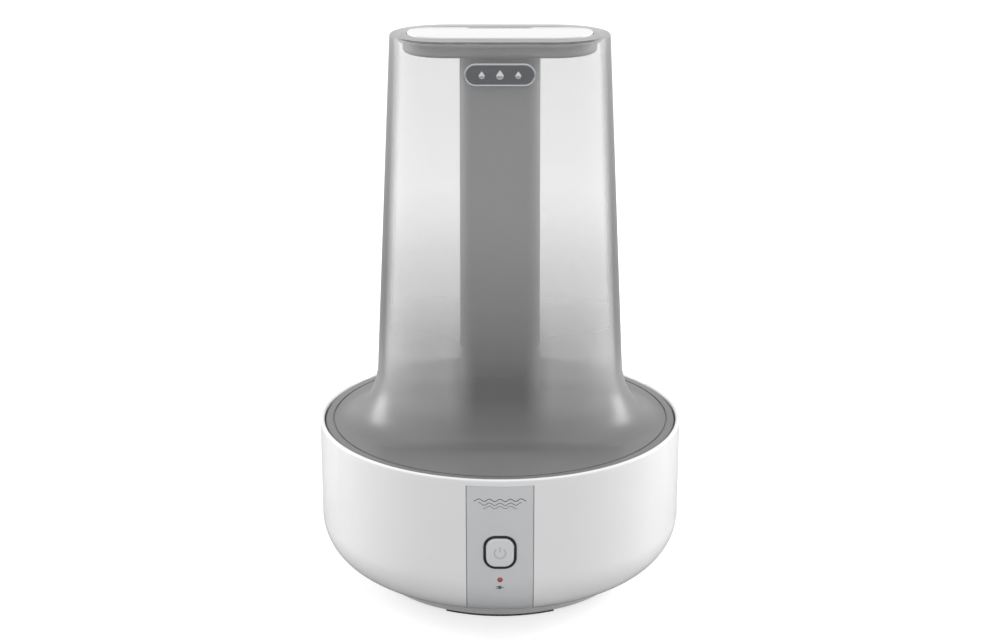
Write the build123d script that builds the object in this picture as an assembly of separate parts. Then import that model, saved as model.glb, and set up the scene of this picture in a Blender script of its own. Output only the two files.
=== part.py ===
from build123d import *
import math
import os

# A cool mist humidifier: a bowl-shaped base that holds the electronics and the water basin,
# and a translucent tower tank that stands in the base and carries the mist up to its top.
# Millimetres. +Z is up, the front panel faces -Y, and the origin is the middle of the
# footprint on the surface that the rubber feet stand on.

# Overall sizes
base_radius = 122.5
base_height = 111.8
tower_top = 371.6
tower_width = 142.3
tower_depth = 74.7

# Clearances
glue_line = 0.05
slip_gap = 0.3
lift_gap = 0.7
screw_gap = 0.25
shaft_gap = 0.05
part_gap = 0.2

# Base shell
shell_wall = 3.0
bottom_corner = 34.0
shell_floor = 10.5
rim_round = 1.3
ledge_top = 98.5
ledge_width = 6.5
ledge_thickness = 2.5
boss_radius = 4.0
boss_cap = 2.0

# Foot ring, bottom cover and rubber feet
foot_step = 1.1
foot_width = 7.5
foot_clearance = 2.0
foot_chamfer = 0.6
cover_plate = 2.5
pad_width = 4.0
pad_height = 3.5
pad_corner = 0.5
pad_span = 49.2
pad_turns = (0, 90, 180, 270)
vent_width = 3.0
vent_pitch = 7.0
vent_count = 5
vent_length = 30.8
vent_setback = 7.0

# Screws
screw_radius = 1.5
screw_head_radius = 2.8
screw_head_height = 1.8
screw_slot_length = 3.6
screw_slot_width = 0.7
screw_tip_radius = 0.4
screw_grip = 9.0

# Front panel, power button and indicator
panel_width = 42.0
panel_thickness = 1.8
panel_top = 107.5
panel_low = 14.0
panel_gap = 0.5
button_width = 17.6
button_height = 19.0
button_corner = 6.0
button_level = 62.9
button_proud = 1.5
button_travel = 1.0
button_gap = 0.35
button_edge = 0.8
button_flange = 1.2
button_stem_radius = 3.0
plunger_radius = 1.7
plunger_length = 2.0
surround_side = 1.45
surround_end = 1.6
surround_proud = 0.1
surround_setback = 0.3
lens_radius = 1.6
lens_level = 44.0
lens_setback = 0.1
lens_collar = 1.0
led_width = 3.2
led_height = 2.4
led_depth = 1.2
board_thickness = 1.6
board_corner = 2.0
control_board_width = 40.0
control_board_low = 38.0
control_board_high = 84.0
control_board_setback = 12.5
switch_size = 6.0
switch_depth = 4.0
switch_corner = 0.6

# Water basin
basin_wall = 2.5
basin_radius = 95.5
basin_corner = 8.0
basin_floor = 74.5
well_radius = 24.0
well_corner = 4.0
well_floor = 58.0
riser_radius = 12.5
riser_height = 94.0
riser_y = 45.0
float_x = -62.0
float_post_radius = 3.0
float_post_top = 93.0
float_radius = 13.0
float_height = 10.0
float_low = 76.0
magnet_height = 2.5
magnet_border = 4.0
magnet_bore_gap = 2.0
float_round = 1.5
keeper_height = 2.0
keeper_radius = 6.0
sensor_length = 16.0
sensor_width = 8.0
sensor_height = 5.0
sensor_chamfer = 0.8
valve_pin_web = 1.2

# Ultrasonic transducer
transducer_radius = 10.0
transducer_thickness = 1.2
transducer_opening = 8.5
seal_radius = 13.0
seal_height = 3.0
retainer_size = 36.0
retainer_thickness = 2.0
retainer_corner = 3.0
retainer_screw_place = 14.0
heat_sink_size = 22.0
heat_sink_height = 12.0
heat_sink_root = 3.0
fin_width = 1.6
fin_gap = 2.6

# Fan and air duct
fan_size = 44.0
fan_low = 15.0
fan_height = 12.0
fan_wall = 1.5
fan_corner = 3.0
fan_mount = 2.0
fan_strut_width = 3.0
fan_strut_turns = (90, 210, 330)
fan_hole_inset = 3.5
fan_hub_radius = 9.0
fan_hub_round = 1.5
fan_hub_gap = 0.6
fan_hub_inset = 1.0
fan_shaft_radius = 1.5
fan_tip_gap = 0.6
blade_count = 7
blade_chord = 8.0
blade_thickness = 1.1
blade_pitch = 32.0
duct_wall = 2.0
duct_neck = 45.0
duct_step = 4.0

# Circuit boards
board_level = 22.0
board_width = 34.0
board_length = 76.0
board_centre = 43.0
board_inset = 4.0
post_radius = 3.0

# Parts on the flat boards
core_width = 24.0
core_length = 26.0
core_height = 20.0
core_y = -8.0
core_limb = 3.0
core_window = 4.0
core_window_offset = 6.0
winding_width = 25.0
winding_length = 7.4
winding_inset = 2.0
winding_corner = 1.0
can_radius = 5.0
can_height = 16.0
can_round = 0.8
can_offset = 7.0
can_y = 18.0
sink_plate = 2.0
sink_plate_length = 24.0
sink_plate_height = 20.0
sink_plate_x = -6.0
sink_plate_y = 10.0
sink_fin_reach = 3.0
sink_fin_width = 6.0
sink_fin_thickness = 1.2
sink_fin_places = (0, 5, 15, 20)
transistor_depth = 4.4
transistor_width = 10.0
transistor_low = 4.0
transistor_high = 19.0
transistor_x = -3.0
coil_radius = 8.0
coil_bore = 4.0
coil_height = 7.0
coil_round = 1.2
coil_x = 2.0
coil_y = -18.0

# Power inlet
inlet_width = 24.0
inlet_height = 16.0
inlet_depth = 17.5
inlet_level = 56.0
inlet_corner = 2.0
inlet_flange = 1.2
inlet_flange_corner = 3.0
inlet_flange_thickness = 2.5
inlet_proud = 1.5
socket_width = 15.0
socket_height = 9.0
socket_depth = 14.0
pin_radius = 1.2
pin_pitch = 8.6
pin_setback = 3.0
pin_tail = 4.0

# Tank
tank_wall = 2.5
disc_top = 110.7
side_slope = 0.0515
front_slope = 0.0345
flare_reach = 27.0
flare_height = 37.0
flare_steps = 8
groove_radius = 113.3
groove_width = 1.2
groove_depth = 0.8
disc_round = 1.3
top_ring = 10.65
ring_thickness = 2.2
rib_depth = 3.0
rib_width = 2.5
rib_gap = 0.6

# Filling neck, cap and valve
neck_x = 62.0
neck_radius = 22.0
neck_wall = 3.0
neck_low = 84.0
cap_wall = 2.5
cap_height = 16.0
cap_gap = 0.3
cap_rib_count = 24
cap_rib_radius = 0.8
cap_rib_inset = 2.0
gasket_thickness = 1.5
gasket_inset = 0.2
valve_stroke = 4.0
valve_hole = 8.0
valve_radius = 9.5
valve_disc = 2.0
valve_seal_thickness = 1.5
stem_radius = 2.0
stem_gap = 0.3
stem_round = 0.5
cage_radius = 13.0
cage_wall = 2.0
cage_room = 3.5
cage_window_half_angle = 35.0
spring_turns = 2
spring_radius = 4.5
spring_wire = 0.4
pin_reach = 6.0

# Mist chimney, outlet dish and top cover
chimney_width = 54.0
chimney_depth = 34.0
chimney_taper = 2.0
chimney_corner = 9.0
chimney_wall = 1.8
chimney_low = 90.0
chimney_collar = 3.0
collar_height = 2.0
dish_depth = 9.9
dish_floor = 2.0
dish_wall = 2.3
dish_flange = 3.0
dish_round = 3.0
cover_gap = 0.5
cover_rise = 1.2
cover_edge = 0.9
cover_wall = 2.0
cover_slope = 5.0
slot_width = 44.0
slot_depth = 8.0

# Badge plate
badge_width = 45.2
badge_height = 14.5
badge_level = 351.3
badge_thickness = 1.3
badge_recess = 0.5
badge_rim = 1.3

# Overlap that joins two shapes of one piece
bite = 1.0

# Sizes that follow from the ones above
shell_bore = base_radius - shell_wall
foot_radius = base_radius - bottom_corner - foot_step
foot_bore = foot_radius - foot_width
cover_low = shell_floor - cover_plate
screw_circle = foot_bore - screw_head_radius - foot_chamfer
floor_opening = screw_circle - boss_radius - slip_gap
groove_bore = foot_radius - (foot_width + pad_width) / 2
ledge_bore = shell_bore - ledge_width
ledge_middle = shell_bore - ledge_width / 2
flange_top = ledge_top + basin_wall
tank_radius = shell_bore - lift_gap
plate_top = flange_top + tank_wall
surround_width = button_width + 2 * (button_gap + surround_side)
surround_height = button_height + 2 * (button_gap + surround_end)
surround_corner = button_corner + button_gap + surround_side
board_front = -(shell_bore - control_board_setback)
switch_front = board_front - switch_depth
button_front = -(base_radius + button_proud)
surround_front = -(base_radius + surround_proud)
surround_back = -(shell_bore - surround_setback)
flange_front = surround_back + screw_gap
flange_back = flange_front + button_flange
plunger_front = switch_front - button_travel - part_gap
stem_back = plunger_front - plunger_length
riser_bore = riser_radius - duct_wall
fan_top = fan_low + fan_height
fan_bore = fan_size / 2 - fan_wall
fan_hole_place = fan_size / 2 - fan_hole_inset
hub_low = fan_low + fan_mount + fan_hub_gap
hub_high = fan_top - fan_hub_inset
shaft_top = fan_top - fan_mount
duct_low = fan_top + duct_wall
duct_wide = fan_bore - duct_step
board_top = board_level + board_thickness
basin_underside = basin_floor - basin_wall
well_underside = well_floor - basin_wall
seal_low = well_underside - seal_height
disc_seat = seal_low + seal_height / 2
retainer_low = seal_low - retainer_thickness
cap_radius = neck_radius + cap_gap + cap_wall
cap_low = neck_low - gasket_thickness - cap_wall
cap_floor = cap_low + cap_wall
valve_seal_low = cap_floor + valve_stroke
valve_disc_low = valve_seal_low + valve_seal_thickness
valve_disc_top = valve_disc_low + valve_disc
cage_roof = valve_disc_top + cage_room
cage_top = cage_roof + cage_wall
stem_low = basin_floor + pin_reach
stem_top = cage_top + valve_stroke + stem_round
keeper_top = float_post_top + keeper_height
dish_low = tower_top - dish_depth - dish_floor
cover_low_edge = dish_low + dish_floor
cover_top = tower_top + cover_rise
cover_half_width = tower_width / 2 - top_ring - cover_gap
cover_half_depth = tower_depth / 2 - top_ring - cover_gap
cover_break = cover_half_depth - 2 * slot_depth
inlet_back = base_radius + inlet_proud - inlet_flange_thickness
inlet_face = base_radius + inlet_proud
inlet_end = inlet_back - inlet_depth

diagonal_corners = [(sx, sy) for sx in (-1, 1) for sy in (-1, 1)]
UP = (Align.CENTER, Align.CENTER, Align.MIN)


# Shapes that several pieces share

def disc(radius, low, high, x=0.0, y=0.0):
    """A round block between two heights."""
    return Pos(x, y, low) * Cylinder(radius, high - low, align=UP)


def tube(outer, bore, low, high, x=0.0, y=0.0):
    """A round wall between two heights."""
    return disc(outer, low, high, x, y) - disc(bore, low, high, x, y)


def bowl(radius, corner, low, high):
    """A round block with a rounded bottom edge."""
    block = disc(radius, low, high)
    return fillet(block.edges().sort_by(Axis.Z)[0], corner)


def slab(width, depth, low, high, x=0.0, y=0.0):
    """A square block between two heights."""
    return Pos(x, y, low) * Box(width, depth, high - low, align=UP)


def prism(outline, low, high):
    """An upright block with the given outline."""
    return extrude(Plane.XY.offset(low) * outline, amount=high - low)


def along_y(outline, front, back, height, x=0.0):
    """A block with the given outline that runs from front to back at one height."""
    face = Plane((x, front, height), x_dir=(1, 0, 0), z_dir=(0, -1, 0)) * outline
    return extrude(face, amount=front - back)


def at_rear(block):
    """The same block turned from the front to the rear."""
    return Rot(0, 0, 180) * block


def screw(length):
    """A pan-head screw that points up, with its head under the origin."""
    head = disc(screw_head_radius, -screw_head_height, 0)
    head = fillet(head.edges().sort_by(Axis.Z)[0], screw_head_height / 2)
    slot_long = slab(screw_slot_length, screw_slot_width, -screw_head_height, -screw_head_height / 2)
    slot_wide = slab(screw_slot_width, screw_slot_length, -screw_head_height, -screw_head_height / 2)
    shank = disc(screw_radius, 0, length - screw_radius)
    tip = Cone(screw_radius, screw_tip_radius, screw_radius, align=UP)
    tip = Pos(0, 0, length - screw_radius) * tip
    return head + shank + tip - slot_long - slot_wide


def screw_group(places, length):
    """Identical screws, one at each place."""
    return Compound(children=[place * screw(length) for place in places])


def stadium(half_width, half_depth):
    """An oblong with round ends, given by its half sizes."""
    return SlotOverall(2 * half_width, 2 * half_depth)


# Places that more than one piece needs

bottom_screw_places = [
    Pos(screw_circle * math.cos(math.radians(a)), screw_circle * math.sin(math.radians(a)), 0)
    for a in (45, 135, 225, 315)
]
basin_screw_places = [
    Pos(ledge_middle * math.cos(math.radians(a)), ledge_middle * math.sin(math.radians(a)), 0)
    for a in (30, 150, 210, 330)
]
fan_screw_places = [
    Pos(sx * fan_hole_place, riser_y + sy * fan_hole_place, 0) for sx, sy in diagonal_corners
]
board_screw_places = [
    Pos(
        side * board_centre + sx * (board_width / 2 - board_inset),
        sy * (board_length / 2 - board_inset),
        0,
    )
    for side in (-1, 1)
    for sx, sy in diagonal_corners
]
control_screw_places = [
    (sx * (control_board_width / 2 - board_inset), height)
    for sx in (-1, 1)
    for height in (control_board_low + 2.5 * board_inset, control_board_high - board_inset)
]
retainer_screw_places = [
    Pos(sx * retainer_screw_place, sy * retainer_screw_place, 0) for sx, sy in diagonal_corners
]


# Base shell and what shows on it

def panel_region(inset, side_gap):
    """The skin of the shell, to a given depth, over the front panel."""
    skin = bowl(base_radius, bottom_corner, shell_floor, base_height)
    skin -= bowl(base_radius - inset, bottom_corner - inset, shell_floor + inset, base_height)
    window = Pos(0, -base_radius, panel_low - side_gap) * Box(
        panel_width + 2 * side_gap,
        2 * bottom_corner,
        panel_top - panel_low + 2 * side_gap,
        align=UP,
    )
    return skin & window


def button_hole(gap):
    """The hole for the button surround, with a gap all round."""
    outline = RectangleRounded(
        surround_width + 2 * gap, surround_height + 2 * gap, surround_corner + gap
    )
    return along_y(outline, button_front, board_front, button_level)


def lens_hole():
    """The hole for the indicator lens."""
    return along_y(Circle(lens_radius + glue_line), button_front, board_front, lens_level)


def inlet_opening():
    """The seat and the hole for the power inlet in the rear wall."""
    seat_outline = RectangleRounded(
        inlet_width + 2 * (inlet_flange + glue_line),
        inlet_height + 2 * (inlet_flange + glue_line),
        inlet_flange_corner,
    )
    hole_outline = RectangleRounded(
        inlet_width + 2 * glue_line, inlet_height + 2 * glue_line, inlet_corner
    )
    seat = along_y(seat_outline, -inlet_face, -inlet_back, inlet_level)
    hole = along_y(hole_outline, -base_radius, -shell_bore + shell_wall, inlet_level)
    return at_rear(seat + hole)


def base_shell():
    """The glossy outer bowl, with a ledge for the basin and bosses for the screws."""
    shell = bowl(base_radius, bottom_corner, shell_floor, base_height)
    shell = fillet(shell.edges().sort_by(Axis.Z)[-1], rim_round)
    shell -= bowl(shell_bore, bottom_corner - shell_wall, shell_floor + shell_wall, base_height)
    ledge_section = Polygon(
        (ledge_bore, ledge_top),
        (shell_bore + shell_wall / 2, ledge_top),
        (shell_bore + shell_wall / 2, ledge_top - ledge_thickness - ledge_width),
        (shell_bore, ledge_top - ledge_thickness - ledge_width),
        (ledge_bore, ledge_top - ledge_thickness),
        align=None,
    )
    shell += revolve(Plane.XZ * ledge_section, Axis.Z)
    shell -= disc(floor_opening, shell_floor, shell_floor + shell_wall)
    boss_top = shell_floor + screw_grip + boss_cap
    for place in bottom_screw_places:
        shell += place * disc(boss_radius, shell_floor + shell_wall / 2, boss_top)
    for x, height in control_screw_places:
        shell += along_y(Circle(post_radius), -(shell_bore - slip_gap), board_front, height, x)
    shell -= panel_region(panel_thickness, panel_gap)
    shell -= button_hole(glue_line) + lens_hole() + inlet_opening()
    for place in bottom_screw_places:
        shell -= place * disc(screw_radius + glue_line, shell_floor, shell_floor + screw_grip)
    for place in basin_screw_places:
        shell -= place * disc(screw_radius + glue_line, ledge_top - screw_grip, ledge_top)
    for x, height in control_screw_places:
        pilot = Circle(screw_radius + glue_line)
        shell -= along_y(pilot, board_front - screw_grip / 2, board_front, height, x)
    return shell


def front_panel():
    """The satin strip set flush into the front of the shell."""
    panel = panel_region(panel_thickness - glue_line, 0)
    return panel - button_hole(glue_line) - lens_hole()


def button_surround():
    """The dark frame round the power button, through the panel and the shell."""
    outline = RectangleRounded(surround_width, surround_height, surround_corner)
    opening = RectangleRounded(
        button_width + 2 * button_gap, button_height + 2 * button_gap, button_corner + button_gap
    )
    frame = along_y(outline, surround_front, surround_back, button_level)
    return frame - along_y(opening, surround_front, surround_back, button_level)


def power_button():
    """The push button, held behind the surround by its flange."""
    cap = along_y(
        RectangleRounded(button_width, button_height, button_corner),
        button_front,
        flange_back,
        button_level,
    )
    cap = fillet(cap.faces().sort_by(Axis.Y)[0].edges(), button_edge)
    flange_outline = RectangleRounded(
        button_width + 2 * button_flange, button_height + 2 * button_flange, button_corner + button_flange
    )
    flange = along_y(flange_outline, flange_front, flange_back, button_level)
    stem = along_y(Circle(button_stem_radius), flange_back, stem_back, button_level)
    return cap + flange + stem


def switch_plunger():
    """The short pin between the button's stem and the switch."""
    return along_y(Circle(plunger_radius), stem_back, plunger_front, button_level)


def power_switch():
    """The push switch on the control board."""
    body = along_y(Rectangle(switch_size, switch_size), switch_front, board_front, button_level)
    return fillet(body.edges().filter_by(Axis.Y), switch_corner)


def indicator_lens():
    """The clear light pipe under the button, from the board to the panel's face."""
    rod_back = board_front - led_depth - part_gap
    rod = along_y(Circle(lens_radius), -(base_radius - lens_setback), rod_back, lens_level)
    collar = Circle(lens_radius + lens_collar)
    return rod + along_y(collar, surround_back, surround_back + lens_collar, lens_level)


def indicator_led():
    """The small light on the control board behind the lens."""
    outline = Rectangle(led_width, led_height)
    return along_y(outline, board_front - led_depth, board_front, lens_level)


def control_board():
    """The upright board behind the front panel."""
    height = control_board_high - control_board_low
    middle = control_board_low + height / 2
    outline = RectangleRounded(control_board_width, height, board_corner)
    board = along_y(outline, board_front, board_front + board_thickness, middle)
    for x, level in control_screw_places:
        hole = Circle(screw_radius + screw_gap)
        board -= along_y(hole, board_front, board_front + board_thickness, level, x)
    return board


def control_board_screws():
    """Four screws that hold the control board to the shell."""
    seat = board_front + board_thickness
    places = [Pos(x, seat, level) * Rot(90, 0, 0) for x, level in control_screw_places]
    return screw_group(places, screw_grip / 2 + board_thickness - slip_gap)


# Bottom of the base

def bottom_cover():
    """The plate that closes the base from below, with the foot ring, vents and board posts."""
    cover = disc(foot_radius, cover_low, shell_floor)
    cover += tube(foot_radius, foot_bore, foot_clearance, cover_low)
    cover = chamfer(cover.faces().sort_by(Axis.Z)[0].edges(), foot_chamfer)
    cover -= tube(groove_bore + pad_width, groove_bore, foot_clearance, pad_height)
    for row in range(vent_count):
        x = (row - (vent_count - 1) / 2) * vent_pitch
        slot = Pos(x, riser_y - vent_setback) * SlotOverall(vent_length, vent_width, rotation=90)
        cover -= prism(slot, cover_low, shell_floor)
    for place in bottom_screw_places:
        cover -= place * disc(screw_radius + screw_gap, cover_low, shell_floor)
    for place in board_screw_places:
        cover += place * disc(post_radius, shell_floor - bite, board_level)
    for place in fan_screw_places:
        cover += place * disc(post_radius, shell_floor - bite, fan_low)
    for place in board_screw_places:
        cover -= place * disc(screw_radius + glue_line, board_level - screw_grip, board_level)
    for place in fan_screw_places:
        cover -= place * disc(screw_radius + glue_line, shell_floor - bite, fan_low)
    return cover


def rubber_feet():
    """Four curved rubber pads pressed into the groove of the foot ring."""
    outline = Pos(groove_bore + pad_width / 2, pad_height / 2) * RectangleRounded(
        pad_width - 2 * glue_line, pad_height, pad_corner
    )
    pad = revolve(Plane.XZ * outline, Axis.Z, revolution_arc=pad_span)
    return Compound(children=[Rot(0, 0, turn - pad_span / 2) * pad for turn in pad_turns])


def bottom_cover_screws():
    """Four screws that hold the bottom cover to the shell."""
    places = [Pos(0, 0, cover_low) * place for place in bottom_screw_places]
    return screw_group(places, screw_grip)


# Water basin and what is fixed to it

def basin():
    """The water basin, with the transducer well, air riser, float post and valve pin."""
    body = bowl(basin_radius + basin_wall, basin_corner + basin_wall, basin_underside, flange_top)
    body += disc(shell_bore - slip_gap, ledge_top, flange_top)
    body += bowl(well_radius + basin_wall, well_corner + basin_wall, well_underside, basin_floor)
    for place in retainer_screw_places:
        body += place * disc(post_radius, seal_low, well_floor - basin_wall / 2)
    body -= bowl(basin_radius, basin_corner, basin_floor, flange_top)
    body -= bowl(well_radius, well_corner, well_floor, flange_top)
    body -= disc(transducer_opening, well_underside, well_floor)
    body += disc(riser_radius, basin_floor - bite, riser_height, 0, riser_y)
    body -= disc(riser_bore, basin_underside, riser_height, 0, riser_y)
    body += disc(float_post_radius, basin_floor - bite, float_post_top, float_x, 0)
    body += disc(float_post_radius / 2, float_post_top, keeper_top, float_x, 0)
    body += disc(stem_radius, basin_floor - bite, stem_low, neck_x, 0)
    body += slab(3 * stem_radius, valve_pin_web, basin_floor - bite, stem_low - bite, neck_x, 0)
    body += slab(valve_pin_web, 3 * stem_radius, basin_floor - bite, stem_low - bite, neck_x, 0)
    for place in retainer_screw_places:
        body -= place * disc(screw_radius + glue_line, seal_low, well_underside + bite)
    for place in basin_screw_places:
        body -= place * disc(screw_radius + screw_gap, ledge_top, flange_top)
        body -= place * disc(screw_head_radius + screw_gap, flange_top - screw_head_height, flange_top)
    return body


def basin_screws():
    """Four screws, sunk into the basin's flange, that hold it to the ledge of the shell."""
    seat = flange_top - screw_head_height
    places = [Pos(0, 0, seat) * place * Rot(180, 0, 0) for place in basin_screw_places]
    return screw_group(places, screw_grip)


def float_keeper():
    """The push-on disc that keeps the float on its post."""
    pin_hole = float_post_radius / 2 + glue_line
    return tube(keeper_radius, pin_hole, float_post_top, keeper_top, float_x, 0)


def float_ring():
    """The ring that floats up its post while there is water in the basin."""
    ring = disc(float_radius, float_low, float_low + float_height, float_x, 0)
    ring = fillet(ring.edges().filter_by(GeomType.CIRCLE), float_round)
    ring -= disc(float_post_radius + slip_gap, float_low, float_low + float_height, float_x, 0)
    return ring - magnet_shape(glue_line)


def magnet_shape(gap):
    """The ring magnet, or with a gap its pocket in the float."""
    return tube(
        float_radius - magnet_border + gap,
        float_post_radius + magnet_bore_gap - gap,
        float_low,
        float_low + magnet_height,
        float_x,
        0,
    )


def float_magnet():
    """The ring magnet that the level sensor under the basin feels."""
    return magnet_shape(0)


def level_sensor():
    """The magnetic level switch stuck under the basin floor, below the float."""
    low = basin_underside - sensor_height
    body = slab(sensor_length, sensor_width, low, basin_underside, float_x, 0)
    return chamfer(body.faces().sort_by(Axis.Z)[0].edges(), sensor_chamfer)


def transducer_seal():
    """The rubber ring that holds the transducer disc against the well's underside."""
    seal = disc(seal_radius, seal_low, well_underside)
    seal -= disc(transducer_opening, seal_low, well_underside)
    return seal - disc(transducer_radius + glue_line, disc_seat, disc_seat + transducer_thickness)


def transducer_disc():
    """The round piezo plate that breaks the water into mist."""
    return disc(transducer_radius, disc_seat, disc_seat + transducer_thickness)


def transducer_retainer():
    """The metal plate that clamps the seal under the well."""
    outline = RectangleRounded(retainer_size, retainer_size, retainer_corner)
    plate = prism(outline, retainer_low, seal_low) - disc(transducer_opening, retainer_low, seal_low)
    for place in retainer_screw_places:
        plate -= place * disc(screw_radius + screw_gap, retainer_low, seal_low)
    return plate


def transducer_screws():
    """Four screws that hold the retainer to the well."""
    places = [Pos(0, 0, retainer_low) * place for place in retainer_screw_places]
    return screw_group(places, retainer_thickness + seal_height)


def heat_sink():
    """The finned block under the retainer."""
    low = retainer_low - heat_sink_height
    block = slab(heat_sink_size, heat_sink_size, low, retainer_low)
    pitch = fin_width + fin_gap
    gaps = int((heat_sink_size - fin_width) / pitch)
    for index in range(gaps):
        x = (index - (gaps - 1) / 2) * pitch
        block -= slab(fin_gap, heat_sink_size, low, retainer_low - heat_sink_root, x, 0)
    return block


# Fan, duct and boards

def fan_housing():
    """The square frame of the fan, with its motor mount and shaft."""
    outline = Pos(0, riser_y) * RectangleRounded(fan_size, fan_size, fan_corner)
    frame = prism(outline, fan_low, fan_top) - disc(fan_bore, fan_low, fan_top, 0, riser_y)
    frame += disc(fan_hub_radius, fan_low, fan_low + fan_mount, 0, riser_y)
    strut = Box(fan_bore + bite, fan_strut_width, fan_mount, align=(Align.MIN, Align.CENTER, Align.MIN))
    for turn in fan_strut_turns:
        frame += Pos(0, riser_y, fan_low) * Rot(0, 0, turn) * strut
    frame += disc(fan_shaft_radius, fan_low, shaft_top, 0, riser_y)
    for place in fan_screw_places:
        frame -= place * disc(screw_radius + screw_gap, fan_low, fan_top)
    return frame


def fan_rotor():
    """The hub and blades that turn on the fan's shaft."""
    hub = disc(fan_hub_radius, hub_low, hub_high, 0, riser_y)
    hub = fillet(hub.edges().sort_by(Axis.Z)[-1], fan_hub_round)
    inner_end = fan_hub_radius - bite
    tip_radius = fan_bore - fan_tip_gap
    blade_end = math.sqrt(tip_radius ** 2 - (blade_chord / 2) ** 2)
    blade = Box(
        blade_end - inner_end,
        blade_chord,
        blade_thickness,
        align=(Align.MIN, Align.CENTER, Align.CENTER),
    )
    blade = Pos(inner_end, 0, (hub_low + hub_high) / 2) * Rot(blade_pitch, 0, 0) * blade
    rotor = hub
    for index in range(blade_count):
        rotor += Pos(0, riser_y, 0) * Rot(0, 0, index * 360 / blade_count) * blade
    return rotor - disc(fan_shaft_radius + shaft_gap, hub_low, shaft_top + shaft_gap, 0, riser_y)


def air_duct():
    """The funnel that takes the fan's air up to the riser of the basin."""
    outline = Pos(0, riser_y) * RectangleRounded(fan_size, fan_size, fan_corner)
    duct = prism(outline, fan_top, duct_low)
    funnel_height = duct_neck - duct_low
    place = Pos(0, riser_y, duct_low)
    duct += place * Cone(duct_wide + duct_wall, riser_radius, funnel_height, align=UP)
    duct += disc(riser_radius, duct_neck, basin_underside, 0, riser_y)
    duct -= disc(duct_wide, fan_top, duct_low, 0, riser_y)
    duct -= place * Cone(duct_wide, riser_bore, funnel_height, align=UP)
    duct -= disc(riser_bore, duct_neck, basin_underside, 0, riser_y)
    for hole in fan_screw_places:
        duct -= hole * disc(screw_radius + screw_gap, fan_top, duct_low)
        duct -= hole * disc(screw_head_radius + screw_gap, duct_low, duct_neck)
    return duct


def fan_screws():
    """Four long screws through the duct's flange and the fan into the bottom cover."""
    places = [Pos(0, 0, duct_low) * place * Rot(180, 0, 0) for place in fan_screw_places]
    return screw_group(places, duct_low - shell_floor)


def circuit_board(side):
    """A flat board on four posts of the bottom cover."""
    outline = Pos(side * board_centre, 0) * RectangleRounded(board_width, board_length, board_corner)
    board = prism(outline, board_level, board_top)
    for place in board_screw_places:
        board -= place * disc(screw_radius + screw_gap, board_level, board_top)
    return board


def driver_board():
    """The board that drives the transducer."""
    return circuit_board(-1)


def power_board():
    """The board that turns the mains into the low voltage of the rest."""
    return circuit_board(1)


def circuit_board_screws():
    """Eight screws that hold the two flat boards."""
    places = [Pos(0, 0, board_top) * place * Rot(180, 0, 0) for place in board_screw_places]
    return screw_group(places, screw_grip)


def power_transformer():
    """The wound transformer on the power board."""
    high = board_top + core_height
    core = slab(core_width, core_length, board_top, high, board_centre, core_y)
    for offset in (-core_window_offset, core_window_offset):
        core -= slab(
            core_width, core_window, board_top + core_limb, high - core_limb, board_centre, core_y + offset
        )
    winding = slab(
        winding_width, winding_length, board_top + winding_inset, high - winding_inset, board_centre, core_y
    )
    return core + fillet(winding.edges().filter_by(Axis.Z), winding_corner)


def smoothing_capacitors():
    """Two upright capacitors on the power board."""
    cans = []
    for x in (-can_offset, can_offset):
        can = disc(can_radius, board_top, board_top + can_height, board_centre + x, can_y)
        cans.append(fillet(can.edges().filter_by(GeomType.CIRCLE), can_round))
    return Compound(children=cans)


def driver_transistor():
    """The power transistor of the transducer drive, on its own small heat sink."""
    high = board_top + sink_plate_height
    plate_x = sink_plate_x - board_centre
    body = slab(sink_plate, sink_plate_length, board_top, high, plate_x, sink_plate_y)
    for y in sink_fin_places:
        fin_x = plate_x - sink_fin_reach
        body += slab(sink_fin_width, sink_fin_thickness, board_top, high, fin_x, y)
    return body + slab(
        transistor_depth,
        transistor_width,
        board_top + transistor_low,
        board_top + transistor_high,
        transistor_x - board_centre,
        sink_plate_y,
    )


def drive_coil():
    """The ring-shaped coil of the transducer drive."""
    ring = tube(coil_radius, coil_bore, board_top, board_top + coil_height, coil_x - board_centre, coil_y)
    return fillet(ring.edges().filter_by(GeomType.CIRCLE), coil_round)


# Power inlet at the rear

def inlet_region(outline, outer, inner):
    """A block at the inlet's height, between two distances from the middle of the base."""
    return at_rear(along_y(outline, -outer, -inner, inlet_level))


def power_inlet():
    """The socket in the rear wall that takes the mains lead."""
    flange_outline = RectangleRounded(
        inlet_width + 2 * inlet_flange,
        inlet_height + 2 * inlet_flange,
        inlet_flange_corner - glue_line,
    )
    body = inlet_region(flange_outline, inlet_face, inlet_back)
    body += inlet_region(
        RectangleRounded(inlet_width, inlet_height, inlet_corner), inlet_back, inlet_end
    )
    socket = SlotOverall(socket_width, socket_height)
    body -= inlet_region(socket, inlet_face, inlet_face - socket_depth)
    for x in (-pin_pitch / 2, pin_pitch / 2):
        hole = Pos(x, 0) * Circle(pin_radius + glue_line)
        body -= inlet_region(hole, inlet_face, inlet_end)
    return body


def inlet_pins():
    """The two contact pins of the inlet, with their solder tails."""
    pins = []
    for x in (-pin_pitch / 2, pin_pitch / 2):
        outline = Pos(x, 0) * Circle(pin_radius)
        pins.append(inlet_region(outline, inlet_face - pin_setback, inlet_end - pin_tail))
    return Compound(children=pins)


# Tank

def tower_half_width(height):
    """Half the tower's width at a height."""
    return tower_width / 2 + side_slope * (tower_top - height)


def tower_half_depth(height):
    """Half the tower's depth at a height."""
    return tower_depth / 2 + front_slope * (tower_top - height)


def tower_section(height, spread):
    """The tower's outline at a height, spread outwards by an amount."""
    outline = stadium(tower_half_width(height) + spread, tower_half_depth(height) + spread)
    return Plane.XY.offset(height) * outline


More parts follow.
